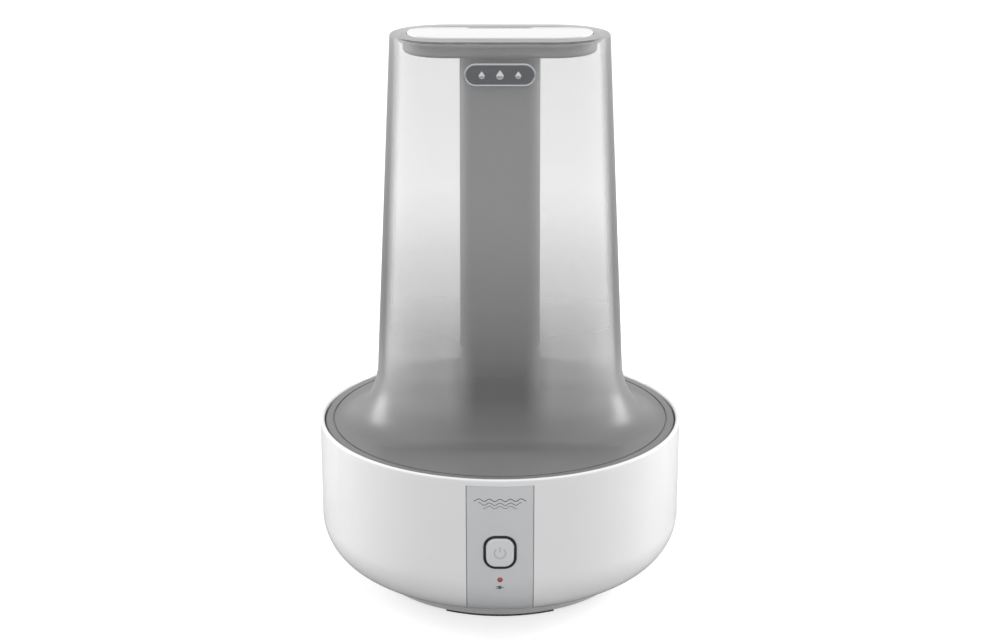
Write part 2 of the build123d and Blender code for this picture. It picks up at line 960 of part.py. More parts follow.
def tower_body(inset, top):
    """The flared tower as a solid, or with an inset the space inside it."""
    sections = []
    for step in range(flare_steps + 1):
        turn = math.radians(90 * (flare_steps - step) / flare_steps)
        spread = flare_reach - (flare_reach + inset) * math.cos(turn)
        height = disc_top + flare_height - (flare_height + inset) * math.sin(turn)
        sections.append(tower_section(height, spread))
    flare = loft(sections)
    straight = loft([sections[-1], tower_section(top, -inset)], ruled=True)
    return flare + straight


def tank_shell():
    """The translucent tank: a round foot that flares up into the tapered tower."""
    foot = disc(tank_radius, plate_top, disc_top)
    foot = fillet(foot.edges().sort_by(Axis.Z)[-1], disc_round)
    foot -= tube(
        groove_radius + groove_width / 2,
        groove_radius - groove_width / 2,
        disc_top - groove_depth,
        disc_top,
    )
    shell = foot + tower_body(0, tower_top)
    shell -= disc(tank_radius - tank_wall, plate_top, disc_top - tank_wall)
    shell -= tower_body(tank_wall, tower_top - ring_thickness)
    return shell - dish_outline(glue_line, tower_top - ring_thickness - bite, tower_top)


def tank_bottom():
    """The plate that closes the tank from below, with the filling neck and a locating rib."""
    plate = disc(tank_radius, flange_top, plate_top)
    rib_radius = basin_radius - rib_gap
    plate += tube(rib_radius, rib_radius - rib_width, flange_top - rib_depth, flange_top)
    plate += disc(neck_radius, neck_low, flange_top, neck_x, 0)
    plate -= disc(neck_radius - neck_wall, neck_low, plate_top, neck_x, 0)
    hole = RectangleRounded(
        chimney_width + 2 * glue_line, chimney_depth + 2 * glue_line, chimney_corner + glue_line
    )
    return plate - prism(hole, flange_top, plate_top)


def chimney_block(inset):
    """The chimney's tapered outline as a solid, or with an inset its passage."""
    low = RectangleRounded(
        chimney_width - 2 * inset, chimney_depth - 2 * inset, chimney_corner - inset
    )
    high = RectangleRounded(
        chimney_width - chimney_taper - 2 * inset,
        chimney_depth - chimney_taper - 2 * inset,
        chimney_corner - inset,
    )
    return loft([Plane.XY.offset(chimney_low) * low, Plane.XY.offset(dish_low) * high], ruled=True)


def mist_chimney():
    """The passage through the tank that leads the mist up, with a collar on the bottom plate."""
    collar_outline = RectangleRounded(
        chimney_width + 2 * chimney_collar,
        chimney_depth + 2 * chimney_collar,
        chimney_corner + chimney_collar,
    )
    collar = prism(collar_outline, plate_top, plate_top + collar_height)
    return chimney_block(0) + collar - chimney_block(chimney_wall)


def dish_outline(spread, low, high):
    """The outside of the outlet dish between two heights."""
    half_width = tower_width / 2 - top_ring + dish_wall + spread
    half_depth = tower_depth / 2 - top_ring + dish_wall + spread
    return prism(stadium(half_width, half_depth), low, high)


def chimney_passage_top():
    """The outline of the chimney's passage where it meets the dish."""
    return RectangleRounded(
        chimney_width - chimney_taper - 2 * chimney_wall,
        chimney_depth - chimney_taper - 2 * chimney_wall,
        chimney_corner - chimney_wall,
    )


def outlet_dish():
    """The oval dish in the top of the tank that the mist comes up into."""
    dish = dish_outline(0, dish_low, tower_top)
    dish = fillet(dish.faces().sort_by(Axis.Z)[0].edges(), dish_round)
    flange_high = tower_top - ring_thickness
    dish += dish_outline(dish_flange, flange_high - dish_floor, flange_high)
    dish -= dish_outline(-dish_wall, cover_low_edge, tower_top)
    return dish - prism(chimney_passage_top(), dish_low, cover_low_edge)


def sloped_cut(drop):
    """The space above the cover's sloped rear part."""
    block = Box(tower_width, tower_depth, tower_depth, align=(Align.CENTER, Align.MIN, Align.MIN))
    return Pos(0, cover_break, cover_top - drop) * Rot(-cover_slope, 0, 0) * block


def top_cover():
    """The white lid in the dish; its rear part slopes down and has the mist slot."""
    lid = prism(stadium(cover_half_width, cover_half_depth), cover_low_edge, cover_top)
    lid = fillet(lid.faces().sort_by(Axis.Z)[-1].edges(), cover_edge)
    lid -= sloped_cut(0)
    inside = prism(
        stadium(cover_half_width - cover_wall, cover_half_depth - cover_wall),
        cover_low_edge,
        cover_top - cover_wall,
    )
    lid -= inside - sloped_cut(cover_wall)
    slot = Pos(0, cover_break + slot_depth) * SlotOverall(slot_width, slot_depth)
    return lid - prism(slot, cover_low_edge, cover_top)


def badge_plate():
    """The bright capsule-shaped plate on the front of the tower."""
    place = Plane(
        (0, -tower_half_depth(badge_level), badge_level),
        x_dir=(1, 0, 0),
        z_dir=(0, -1, front_slope),
    )
    plate = extrude(place * SlotOverall(badge_width, badge_height), amount=badge_thickness)
    recess_outline = SlotOverall(badge_width - 2 * badge_rim, badge_height - 2 * badge_rim)
    recess = extrude(place * recess_outline, amount=badge_thickness)
    floor_part = extrude(place * recess_outline, amount=badge_thickness - badge_recess)
    return plate - recess + floor_part


# Tank cap and valve

def tank_cap():
    """The turning cap of the filling neck, with the cage that guides the valve."""
    cap = disc(cap_radius, cap_low, cap_low + cap_height, neck_x, 0)
    for index in range(cap_rib_count):
        rib = disc(cap_rib_radius, cap_low, cap_low + cap_height - cap_rib_inset, cap_radius, 0)
        cap += Pos(neck_x, 0, 0) * Rot(0, 0, index * 360 / cap_rib_count) * rib
    cap -= disc(neck_radius + cap_gap, cap_floor, cap_low + cap_height, neck_x, 0)
    cage = tube(cage_radius, cage_radius - cage_wall, cap_floor, cage_top, neck_x, 0)
    cage += disc(cage_radius - cage_wall / 2, cage_roof, cage_top, neck_x, 0)
    window_width = 2 * (cage_radius - cage_wall) * math.sin(math.radians(cage_window_half_angle))
    window = Box(3 * cage_radius, window_width, cage_roof - cap_floor - bite, align=UP)
    for turn in (0, 90):
        cage -= Pos(neck_x, 0, cap_floor + bite / 2) * Rot(0, 0, turn) * window
    cap += cage
    cap -= disc(valve_hole, cap_low, cap_floor, neck_x, 0)
    return cap - disc(stem_radius + stem_gap, cage_roof, cage_top, neck_x, 0)


def cap_gasket():
    """The flat rubber ring that seals the cap to the neck."""
    return tube(neck_radius, neck_radius - neck_wall + gasket_inset, cap_floor, neck_low, neck_x, 0)


def valve_plunger():
    """The stem and disc that let water out of the tank when the base lifts them."""
    stem = disc(stem_radius, stem_low, stem_top, neck_x, 0)
    stem = fillet(stem.edges().filter_by(GeomType.CIRCLE), stem_round)
    return stem + disc(valve_radius, valve_disc_low, valve_disc_top, neck_x, 0)


def valve_seal():
    """The rubber ring under the valve's disc."""
    return tube(valve_radius, stem_radius, valve_seal_low, valve_disc_low, neck_x, 0)


def valve_spring():
    """The coil spring between the valve's disc and the roof of its cage."""
    low = valve_disc_top + spring_wire
    height = cage_roof - spring_wire - low
    coil = Helix(pitch=height / spring_turns, height=height, radius=spring_radius)
    wire = Plane(coil @ 0, z_dir=coil % 0) * Circle(spring_wire)
    return Pos(neck_x, 0, low) * sweep(wire, path=coil)


# Each node and the function that makes it

nodes = {
    "base_shell": base_shell,
    "front_panel": front_panel,
    "button_surround": button_surround,
    "power_button": power_button,
    "switch_plunger": switch_plunger,
    "power_switch": power_switch,
    "indicator_lens": indicator_lens,
    "indicator_led": indicator_led,
    "control_board": control_board,
    "control_board_screws": control_board_screws,
    "bottom_cover": bottom_cover,
    "rubber_feet": rubber_feet,
    "bottom_cover_screws": bottom_cover_screws,
    "basin": basin,
    "basin_screws": basin_screws,
    "float_keeper": float_keeper,
    "float_ring": float_ring,
    "float_magnet": float_magnet,
    "level_sensor": level_sensor,
    "transducer_seal": transducer_seal,
    "transducer_disc": transducer_disc,
    "transducer_retainer": transducer_retainer,
    "transducer_screws": transducer_screws,
    "heat_sink": heat_sink,
    "fan_housing": fan_housing,
    "fan_rotor": fan_rotor,
    "air_duct": air_duct,
    "fan_screws": fan_screws,
    "driver_board": driver_board,
    "power_board": power_board,
    "circuit_board_screws": circuit_board_screws,
    "power_transformer": power_transformer,
    "smoothing_capacitors": smoothing_capacitors,
    "driver_transistor": driver_transistor,
    "drive_coil": drive_coil,
    "power_inlet": power_inlet,
    "inlet_pins": inlet_pins,
    "tank_shell": tank_shell,
    "tank_bottom": tank_bottom,
    "mist_chimney": mist_chimney,
    "outlet_dish": outlet_dish,
    "top_cover": top_cover,
    "badge_plate": badge_plate,
    "tank_cap": tank_cap,
    "cap_gasket": cap_gasket,
    "valve_plunger": valve_plunger,
    "valve_seal": valve_seal,
    "valve_spring": valve_spring,
}

os.makedirs("parts", exist_ok=True)
for name, make in nodes.items():
    export_step(make(), f"parts/{name}.step")
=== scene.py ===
import bmesh
import bpy
import math
from mathutils import Matrix, Vector


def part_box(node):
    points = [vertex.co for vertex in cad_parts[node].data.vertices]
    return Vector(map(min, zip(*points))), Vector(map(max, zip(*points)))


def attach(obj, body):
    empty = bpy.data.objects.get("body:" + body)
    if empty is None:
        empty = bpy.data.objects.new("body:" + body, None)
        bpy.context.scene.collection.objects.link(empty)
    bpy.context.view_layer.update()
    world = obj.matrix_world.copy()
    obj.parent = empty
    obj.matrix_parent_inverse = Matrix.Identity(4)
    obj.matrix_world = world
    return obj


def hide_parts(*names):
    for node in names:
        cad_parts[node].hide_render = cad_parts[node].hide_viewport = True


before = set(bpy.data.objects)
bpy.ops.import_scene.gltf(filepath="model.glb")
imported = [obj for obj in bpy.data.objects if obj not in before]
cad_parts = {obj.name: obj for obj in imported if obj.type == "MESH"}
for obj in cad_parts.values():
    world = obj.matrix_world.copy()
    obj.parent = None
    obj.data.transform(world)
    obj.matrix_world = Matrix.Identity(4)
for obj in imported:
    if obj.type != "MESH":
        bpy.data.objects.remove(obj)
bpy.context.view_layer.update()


# Studio: a pale seamless floor in a white room that is a touch dimmer in front, two tall
# softboxes a little behind the sides, and a broad soft one overhead. The floor's own glow is
# kept off the object, so the underside of the bowl stays in shade.

world = bpy.data.worlds.new("white_room")
world.use_nodes = True
room = world.node_tree.nodes["Background"]
room.inputs["Color"].default_value = (1.0, 1.0, 1.0, 1.0)
room_side = world.node_tree.nodes.new("ShaderNodeTexCoord")
room_axes = world.node_tree.nodes.new("ShaderNodeSeparateXYZ")
room_light = world.node_tree.nodes.new("ShaderNodeMapRange")
room_light.interpolation_type = "SMOOTHSTEP"
room_light.inputs["From Min"].default_value = -1.0
room_light.inputs["From Max"].default_value = -0.1
room_light.inputs["To Min"].default_value = 0.94
room_light.inputs["To Max"].default_value = 0.96
world.node_tree.links.new(room_side.outputs["Generated"], room_axes.inputs["Vector"])
world.node_tree.links.new(room_axes.outputs["Y"], room_light.inputs["Value"])
world.node_tree.links.new(room_light.outputs["Result"], room.inputs["Strength"])
bpy.context.scene.world = world
bpy.context.scene.view_settings.view_transform = "Standard"


def softbox(name, place, aim, width, height, watts):
    """A rectangular lamp that points at a place and isn't seen itself."""
    lamp = bpy.data.lights.new(name, "AREA")
    lamp.shape = "RECTANGLE"
    lamp.size = width
    lamp.size_y = height
    lamp.energy = watts
    holder = bpy.data.objects.new(name, lamp)
    bpy.context.collection.objects.link(holder)
    holder.location = place
    holder.rotation_euler = (Vector(aim) - Vector(place)).to_track_quat("-Z", "Y").to_euler()
    holder.visible_camera = False


softbox("softbox_left", (-1.35, 0.45, 0.62), aim=(0, 0, 0.15), width=0.5, height=0.9, watts=13)
softbox("softbox_right", (1.35, 0.45, 0.62), aim=(0, 0, 0.15), width=0.5, height=0.9, watts=12.5)
softbox("softbox_top", (0, 0.1, 1.7), aim=(0, 0, 0.2), width=1.4, height=1.0, watts=2.5)

floor_paint = bpy.data.materials.new("floor_white")
floor_paint.use_nodes = True
floor_shader = floor_paint.node_tree.nodes["Principled BSDF"]
floor_shader.inputs["Base Color"].default_value = (0.38, 0.38, 0.38, 1)
floor_shader.inputs["Roughness"].default_value = 0.6
floor_shader.inputs["Specular IOR Level"].default_value = 0.2
floor_shader.inputs["Emission Color"].default_value = (1, 1, 1, 1)
floor_shader.inputs["Emission Strength"].default_value = 0.72
floor_mesh = bmesh.new()
bmesh.ops.create_circle(floor_mesh, cap_ends=True, segments=64, radius=14)
floor_data = bpy.data.meshes.new("floor")
floor_mesh.to_mesh(floor_data)
floor_mesh.free()
floor_data.materials.append(floor_paint)
floor = bpy.data.objects.new("floor", floor_data)
bpy.context.collection.objects.link(floor)
floor_glow = bpy.data.collections.new("floor_glow_reaches")
floor_glow.objects.link(floor)
floor.light_linking.receiver_collection = floor_glow

camera_tilt = 17.59
camera = bpy.data.cameras.new("camera")
camera.sensor_width = 36
camera.lens = 68.31
camera_holder = bpy.data.objects.new("camera", camera)
bpy.context.collection.objects.link(camera_holder)
camera_holder.location = (0, -1.21934, 0.56449)
camera_holder.rotation_euler = (math.radians(90 - camera_tilt), 0, 0)
bpy.context.scene.camera = camera_holder


# Base shell: the glossy white bowl, injection moulded in one piece. Its rim is rounded, its
# bottom edge is a large radius, and a shallow recess down the front takes the grey strip.

MM = 0.001


def plastic(name, colour, roughness, grain, relief, coat=0.0, shade=0.03):
    """Moulded plastic: a faint flow of tone, a fine grain, and gloss that varies a little. The
    grain's size and the height of its relief are in metres."""
    paint = bpy.data.materials.new(name)
    paint.use_nodes = True
    nodes = paint.node_tree.nodes
    links = paint.node_tree.links
    shader = nodes["Principled BSDF"]
    shader.inputs["Coat Weight"].default_value = coat
    shader.inputs["Coat Roughness"].default_value = 0.04
    shader.inputs["IOR"].default_value = 1.5
    place = nodes.new("ShaderNodeTexCoord")
    flow = nodes.new("ShaderNodeTexNoise")
    flow.inputs["Scale"].default_value = 14
    flow.inputs["Detail"].default_value = 3
    links.new(place.outputs["Object"], flow.inputs["Vector"])
    tone = nodes.new("ShaderNodeValToRGB")
    tone.color_ramp.elements[0].position = 0.3
    tone.color_ramp.elements[1].position = 0.7
    tone.color_ramp.elements[0].color = (*[c * (1 - shade) for c in colour], 1)
    tone.color_ramp.elements[1].color = (*[min(1.0, c * (1 + shade)) for c in colour], 1)
    links.new(flow.outputs["Fac"], tone.inputs["Fac"])
    links.new(tone.outputs["Color"], shader.inputs["Base Color"])
    speck = nodes.new("ShaderNodeTexNoise")
    speck.inputs["Scale"].default_value = 1 / grain
    speck.inputs["Detail"].default_value = 2
    links.new(place.outputs["Object"], speck.inputs["Vector"])
    gloss = nodes.new("ShaderNodeMapRange")
    gloss.inputs["To Min"].default_value = roughness * 0.85
    gloss.inputs["To Max"].default_value = roughness * 1.15
    links.new(speck.outputs["Fac"], gloss.inputs["Value"])
    links.new(gloss.outputs["Result"], shader.inputs["Roughness"])
    bump = nodes.new("ShaderNodeBump")
    bump.inputs["Strength"].default_value = 1.0
    bump.inputs["Distance"].default_value = relief
    links.new(speck.outputs["Fac"], bump.inputs["Height"])
    links.new(bump.outputs["Normal"], shader.inputs["Normal"])
    return paint


def made_piece(name, shape, paint, crease=30):
    """Turns a finished shape into a piece with smooth faces and crisp edges."""
    mesh = bpy.data.meshes.new(name)
    shape.to_mesh(mesh)
    shape.free()
    mesh.shade_smooth()
    mesh.set_sharp_from_angle(angle=math.radians(crease))
    mesh.materials.append(paint)
    made = bpy.data.objects.new(name, mesh)
    bpy.context.collection.objects.link(made)
    return made


def turned(outline, rounds, steps, start=0.0, sweep=2 * math.pi, closed=True):
    """Turns an outline of (radius, height) points round Z, after rounding some corners."""
    shape = bmesh.new()
    points = [shape.verts.new((radius, 0, height)) for radius, height in outline]
    ends = points[1:] + (points[:1] if closed else [])
    for near, far in zip(points, ends):
        shape.edges.new((near, far))
    for corner, radius, segments in rounds:
        bmesh.ops.bevel(
            shape, geom=[points[corner]], affect="VERTICES", offset=radius,
            segments=segments, profile=0.5, material=-1,
        )
    bmesh.ops.rotate(
        shape, verts=shape.verts[:], cent=(0, 0, 0), matrix=Matrix.Rotation(start, 3, "Z")
    )
    bmesh.ops.spin(
        shape, geom=shape.verts[:] + shape.edges[:], cent=(0, 0, 0), axis=(0, 0, 1),
        angle=sweep, steps=steps, use_merge=sweep == 2 * math.pi, use_duplicate=False,
    )
    bmesh.ops.remove_doubles(shape, verts=shape.verts[:], dist=1e-6)
    bmesh.ops.recalc_face_normals(shape, faces=shape.faces[:])
    return shape


shell_low, shell_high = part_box("base_shell")
base_radius = shell_high.x
rim_height = shell_high.z
floor_height = shell_low.z
shell_wall = 3.0 * MM
bottom_corner = 34.0 * MM
rim_round = 1.3 * MM
basin_flange = 2.5 * MM
ledge_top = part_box("basin")[1].z - basin_flange
ledge_width = 6.5 * MM
ledge_thickness = 2.5 * MM
floor_opening = 72.0 * MM
bore = base_radius - shell_wall

white_gloss = plastic(
    "white_gloss_plastic", (0.84, 0.84, 0.85),
    roughness=0.16, grain=1.6 * MM, relief=0.004 * MM, coat=0.6, shade=0.01,
)

bowl = turned(
    [
        (floor_opening, floor_height),
        (base_radius, floor_height),
        (base_radius, rim_height),
        (bore, rim_height),
        (bore, ledge_top),
        (bore - ledge_width, ledge_top),
        (bore - ledge_width, ledge_top - ledge_thickness),
        (bore, ledge_top - ledge_thickness - ledge_width),
        (bore, floor_height + shell_wall),
        (floor_opening, floor_height + shell_wall),
    ],
    rounds=[
        (1, bottom_corner, 28), (8, bottom_corner - shell_wall, 20),
        (2, rim_round, 6), (3, rim_round, 6),
    ],
    steps=288,
)

panel_low, panel_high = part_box("front_panel")
panel_gap = 0.5 * MM
panel_top_gap = 0.15 * MM
recess_depth = 1.8 * MM


def cut_across(shape, region, place, normal, clear=False):
    """Cuts part of a shape along a plane, and can clear what lies beyond it."""
    chosen = [v for v in shape.verts if region(v.co)]
    keep = set(chosen)
    faces = [f for f in shape.faces if all(v in keep for v in f.verts)]
    edges = [e for e in shape.edges if all(v in keep for v in e.verts)]
    bmesh.ops.bisect_plane(
        shape, geom=chosen + edges + faces, dist=1e-7, plane_co=place, plane_no=normal,
        clear_outer=clear,
    )


def near_front(point):
    """True well in front of the middle of the bowl."""
    return point.y < -60 * MM


for side in (-1, 1):
    cut_across(bowl, near_front, (side * (panel_high.x + panel_gap), 0, 0), (side, 0, 0))
recess_top = panel_high.z + panel_top_gap
for height in (panel_low.z - panel_gap, recess_top):
    cut_across(bowl, near_front, (0, 0, height), (0, 0, 1))
recess = []
for face in bowl.faces:
    middle = face.calc_center_median()
    in_width = abs(middle.x) < panel_high.x + panel_gap
    in_height = panel_low.z - panel_gap < middle.z < recess_top
    if near_front(middle) and in_width and in_height and face.normal.y < -0.05:
        recess.append(face)
sunk = bmesh.ops.extrude_face_region(bowl, geom=recess)
for vert in [v for v in sunk["geom"] if isinstance(v, bmesh.types.BMVert)]:
    flat = Vector((vert.co.x, vert.co.y, 0)).normalized()
    centre = flat * (base_radius - bottom_corner)
    centre.z = max(vert.co.z, floor_height + bottom_corner)
    vert.co -= (vert.co - centre).normalized() * recess_depth
bmesh.ops.delete(bowl, geom=[f for f in recess if f.is_valid], context="FACES")
bmesh.ops.recalc_face_normals(bowl, faces=bowl.faces[:])


def rounded_block(width, height, corner, front, back, middle, rim=0.0, steps=10):
    """A block that runs from front to back, with rounded corners and, given a rim, a softened
    front edge. Its middle is a height."""
    shape = bmesh.new()
    bmesh.ops.create_cube(shape, size=1)
    bmesh.ops.scale(shape, vec=(width, back - front, height), verts=shape.verts[:])
    bmesh.ops.translate(shape, vec=(0, (front + back) / 2, middle), verts=shape.verts[:])
    sides = [e for e in shape.edges if abs(e.verts[0].co.y - e.verts[1].co.y) > (back - front) / 2]
    bmesh.ops.bevel(
        shape, geom=sides, affect="EDGES", offset=corner, segments=steps, profile=0.5, material=-1
    )
    if rim:
        face = min(shape.faces, key=lambda f: f.calc_center_median().y)
        bmesh.ops.bevel(
            shape, geom=face.edges[:], affect="EDGES", offset=rim, segments=5, profile=0.5,
            material=-1,
        )
    bmesh.ops.recalc_face_normals(shape, faces=shape.faces[:])
    return shape


def carved(piece, cutter_shape):
    """Takes a cutter's space out of a piece, and marks its crisp edges again."""
    cutter = made_piece("cutter", cutter_shape, white_gloss)
    cut = piece.modifiers.new("cut", "BOOLEAN")
    cut.operation = "DIFFERENCE"
    cut.solver = "FAST"
    cut.object = cutter
    bpy.context.view_layer.update()
    cut_piece = piece.evaluated_get(bpy.context.evaluated_depsgraph_get())
    result = bpy.data.meshes.new_from_object(cut_piece)
    result.shade_smooth()
    result.set_sharp_from_angle(angle=math.radians(30))
    piece.modifiers.clear()
    old = piece.data
    piece.data = result
    result.name = old.name
    bpy.data.meshes.remove(old)
    bpy.data.objects.remove(cutter)


def peg(radius, front, back, height, segments=48):
    """A round block that runs from front to back."""
    shape = bmesh.new()
    bmesh.ops.create_cone(
        shape, cap_ends=True, segments=segments, radius1=radius, radius2=radius, depth=back - front
    )
    bmesh.ops.rotate(
        shape, verts=shape.verts[:], cent=(0, 0, 0), matrix=Matrix.Rotation(math.pi / 2, 3, "X")
    )
    bmesh.ops.translate(shape, verts=shape.verts[:], vec=(0, (front + back) / 2, height))
    return shape


base_shell = made_piece("base_bowl", bowl, white_gloss)
button_low, button_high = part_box("power_button")
surround_low, surround_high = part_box("button_surround")
button_level = (surround_low.z + surround_high.z) / 2
surround_width = surround_high.x - surround_low.x
surround_height = surround_high.z - surround_low.z
surround_corner = 7.8 * MM
lens_low, lens_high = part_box("indicator_lens")
lens_level = (lens_low.z + lens_high.z) / 2
lens_radius = 1.6 * MM
clearance = 0.1 * MM
overrun = 5 * MM
carved(
    base_shell,
    rounded_block(
        surround_width + clearance, surround_height + clearance, surround_corner,
        -base_radius - overrun, -bore + overrun, button_level,
    ),
)
carved(
    base_shell,
    peg(lens_radius + clearance, -base_radius - overrun, -bore + overrun, lens_level),
)

inlet_low, inlet_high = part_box("power_inlet")
inlet_level = (inlet_low.z + inlet_high.z) / 2
inlet_width = inlet_high.x - inlet_low.x
inlet_height = inlet_high.z - inlet_low.z
inlet_flange = 1.2 * MM
seat_corner = 3 * MM
seat_face = inlet_high.y - 2.5 * MM
body_corner = 2 * MM
carved(
    base_shell,
    rounded_block(
        inlet_width + clearance, inlet_height + clearance, seat_corner,
        seat_face, base_radius + overrun, inlet_level,
    ),
)
carved(
    base_shell,
    rounded_block(
        inlet_width - 2 * inlet_flange + clearance, inlet_height - 2 * inlet_flange + clearance,
        body_corner, bore - overrun, base_radius + overrun, inlet_level,
    ),
)
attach(base_shell, "base")
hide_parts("base_shell")


# Front panel: a satin grey strip, moulded to the bowl's curve and pressed into its recess.
# A rounded opening takes the button's dark surround, and a small hole the indicator.

satin_grey = plastic(
    "satin_grey_plastic", (0.62, 0.625, 0.64),
    roughness=0.34, grain=0.7 * MM, relief=0.003 * MM, shade=0.015,
)

panel_thickness = 1.6 * MM
panel_edge = 0.3 * MM
blank_half_turn = 16
panel = turned(
    [
        (base_radius - bottom_corner, floor_height),
        (base_radius, floor_height),
        (base_radius, panel_high.z + 1 * MM),
    ],
    rounds=[(1, bottom_corner, 40)],
    steps=64,
    start=math.radians(-90 - blank_half_turn),
    sweep=math.radians(2 * blank_half_turn),
    closed=False,
)
for side in (-1, 1):
    cut_across(panel, lambda point: True, (side * panel_high.x, 0, 0), (side, 0, 0), clear=True)
cut_across(panel, lambda point: True, (0, 0, panel_high.z), (0, 0, 1), clear=True)
cut_across(panel, lambda point: True, (0, 0, panel_low.z), (0, 0, -1), clear=True)
for face in panel.faces:
    if face.normal.y > 0:
        face.normal_flip()
bmesh.ops.solidify(panel, geom=panel.faces[:], thickness=panel_thickness)
bmesh.ops.recalc_face_normals(panel, faces=panel.faces[:])
border = [e for e in panel.edges if e.calc_face_angle(0) > 1.0]
bmesh.ops.bevel(
    panel, geom=border, affect="EDGES", offset=panel_edge, segments=3, profile=0.5, material=-1
)
front_strip = made_piece("front_strip", panel, satin_grey)
carved(
    front_strip,
    rounded_block(
        surround_width, surround_height, surround_corner,
        surround_low.y - overrun, surround_high.y + 1 * MM, button_level,
    ),
)
carved(front_strip, peg(lens_radius + clearance, lens_low.y - overrun, lens_high.y, lens_level))
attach(front_strip, "base")
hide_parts("front_panel")


# Button surround: a semi-gloss black frame that lines the opening in the strip and stops the
# button, moulded with softened edges.

surround_black = plastic(
    "surround_black_plastic", (0.006, 0.006, 0.007),
    roughness=0.4, grain=0.9 * MM, relief=0.003 * MM,
)

button_gap = 0.35 * MM
button_width = 17.6 * MM
button_height = 19.0 * MM
button_corner = 6.0 * MM
frame_piece = made_piece(
    "dark_frame",
    rounded_block(
        surround_width, surround_height, surround_corner, surround_low.y, surround_high.y,
        button_level, rim=0.5 * MM, steps=14,
    ),
    surround_black,
)
carved(
    frame_piece,
    rounded_block(
        button_width + 2 * button_gap, button_height + 2 * button_gap, button_corner + button_gap,
        surround_low.y - 1 * MM, surround_high.y + 1 * MM, button_level, steps=14,
    ),
)
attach(frame_piece, "base")
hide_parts("button_surround")


# Power button: a satin grey cap with a soft edge, a retaining flange behind the frame and the
# usual ring-and-bar sign standing just proud of its face.

button_grey = plastic(
    "button_grey_plastic", (0.70, 0.705, 0.715),
    roughness=0.3, grain=0.8 * MM, relief=0.003 * MM, coat=0.15, shade=0.015,
)

sign_relief = 0.12 * MM
button_face = button_low.y + sign_relief
button_edge = 1.1 * MM
flange_spread = 1.2 * MM
flange_front = -bore + 0.8 * MM
flange_back = -bore + 2.0 * MM
stem_radius = 3 * MM
button_cap = rounded_block(
    button_width, button_height, button_corner, button_face, button_high.y - 4 * MM,
    button_level, rim=button_edge, steps=14,
)
flange = rounded_block(
    button_width + 2 * flange_spread, button_height + 2 * flange_spread,
    button_corner + flange_spread, flange_front, flange_back, button_level, steps=14,
)


def joined(first, second):
    """Adds one shape to another."""
    carrier = bpy.data.meshes.new("carrier")
    second.to_mesh(carrier)
    second.free()
    first.from_mesh(carrier)
    bpy.data.meshes.remove(carrier)
    return first


button = joined(button_cap, flange)
button = joined(button, peg(stem_radius, flange_back, button_high.y, button_level))
power_button = made_piece("push_button", button, button_grey)
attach(power_button, "power_button")
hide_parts("power_button")

sign_grey = plastic(
    "button_sign_grey", (0.54, 0.545, 0.555),
    roughness=0.25, grain=0.8 * MM, relief=0.003 * MM, coat=0.3, shade=0.01,
)
sign_radius = 3.5 * MM
sign_line = 0.45 * MM
sign_gap = math.radians(80)
bar_length = 3.6 * MM
bar_drop = 0.9 * MM

sign = bmesh.new()
corners = [
    (sign_radius - sign_line, 0), (sign_radius + sign_line, 0),
    (sign_radius + sign_line, -sign_relief), (sign_radius - sign_line, -sign_relief),
]
section = [sign.verts.new((x, button_face + y, button_level)) for x, y in corners]
for near, far in zip(section, section[1:] + section[:1]):
    sign.edges.new((near, far))
bmesh.ops.rotate(
    sign, verts=sign.verts[:], cent=(0, 0, button_level),
    matrix=Matrix.Rotation(-math.pi / 2 - sign_gap / 2, 3, "Y"),
)
bmesh.ops.spin(
    sign, geom=sign.verts[:] + sign.edges[:], cent=(0, 0, button_level), axis=(0, 1, 0),
    angle=-(2 * math.pi - sign_gap), steps=48, use_merge=False,
)
bmesh.ops.holes_fill(sign, edges=[e for e in sign.edges if e.is_boundary], sides=4)
bar = rounded_block(
    2 * sign_line, bar_length, sign_line * 0.95, button_low.y, button_face,
    button_level + sign_radius - bar_drop, steps=5,
)
sign = joined(sign, bar)
bmesh.ops.recalc_face_normals(sign, faces=sign.faces[:])
power_sign = made_piece("button_sign", sign, sign_grey)
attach(power_sign, "power_button")


# Indicator: the end of a clear red light pipe with a slightly domed face, held in the wall by
# a collar. It glows softly inside a thin black ring.

lens_red = plastic(
    "lens_red_plastic", (0.42, 0.06, 0.04),
    roughness=0.12, grain=2 * MM, relief=0.002 * MM, coat=0.8,
)
lens_shader = lens_red.node_tree.nodes["Principled BSDF"]
lens_shader.inputs["Emission Color"].default_value = (1.0, 0.10, 0.03, 1)
lens_shader.inputs["Emission Strength"].default_value = 0.10

lens_facets = 40
lens_dome = 0.7 * MM
lens = peg(lens_radius, lens_low.y + 0.3 * MM, lens_high.y, lens_level, lens_facets)
front_face = min(lens.faces, key=lambda f: f.calc_center_median().y)
bmesh.ops.bevel(
    lens, geom=front_face.edges[:], affect="EDGES", offset=lens_dome, segments=5, profile=0.5,
    material=-1,
)
collar = peg(lens_radius + 1 * MM, -bore + 0.6 * MM, -bore + 1.6 * MM, lens_level, lens_facets)
lens_piece = made_piece("indicator_light", joined(lens, collar), lens_red)
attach(lens_piece, "base")
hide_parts("indicator_lens")

ring_radius = lens_radius + 0.35 * MM
ring = peg(ring_radius, lens_low.y + 0.15 * MM, lens_low.y + 0.8 * MM, lens_level, lens_facets)
ring_piece = made_piece("indicator_ring", ring, surround_black)
ring_hole = lens_radius + 0.02 * MM
carved(
    ring_piece, peg(ring_hole, lens_low.y - 1 * MM, lens_low.y + 2 * MM, lens_level, lens_facets)
)
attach(ring_piece, "base")


# Printed marks on the strip: a small plug sign under the indicator, and three plain mist
# waves near the top. Each is a thin film of grey ink that follows the curve of the strip.

ink_grey = plastic(
    "ink_dark_grey", (0.10, 0.10, 0.11),
    roughness=0.5, grain=0.5 * MM, relief=0.002 * MM,
)
ink_height = 0.06 * MM


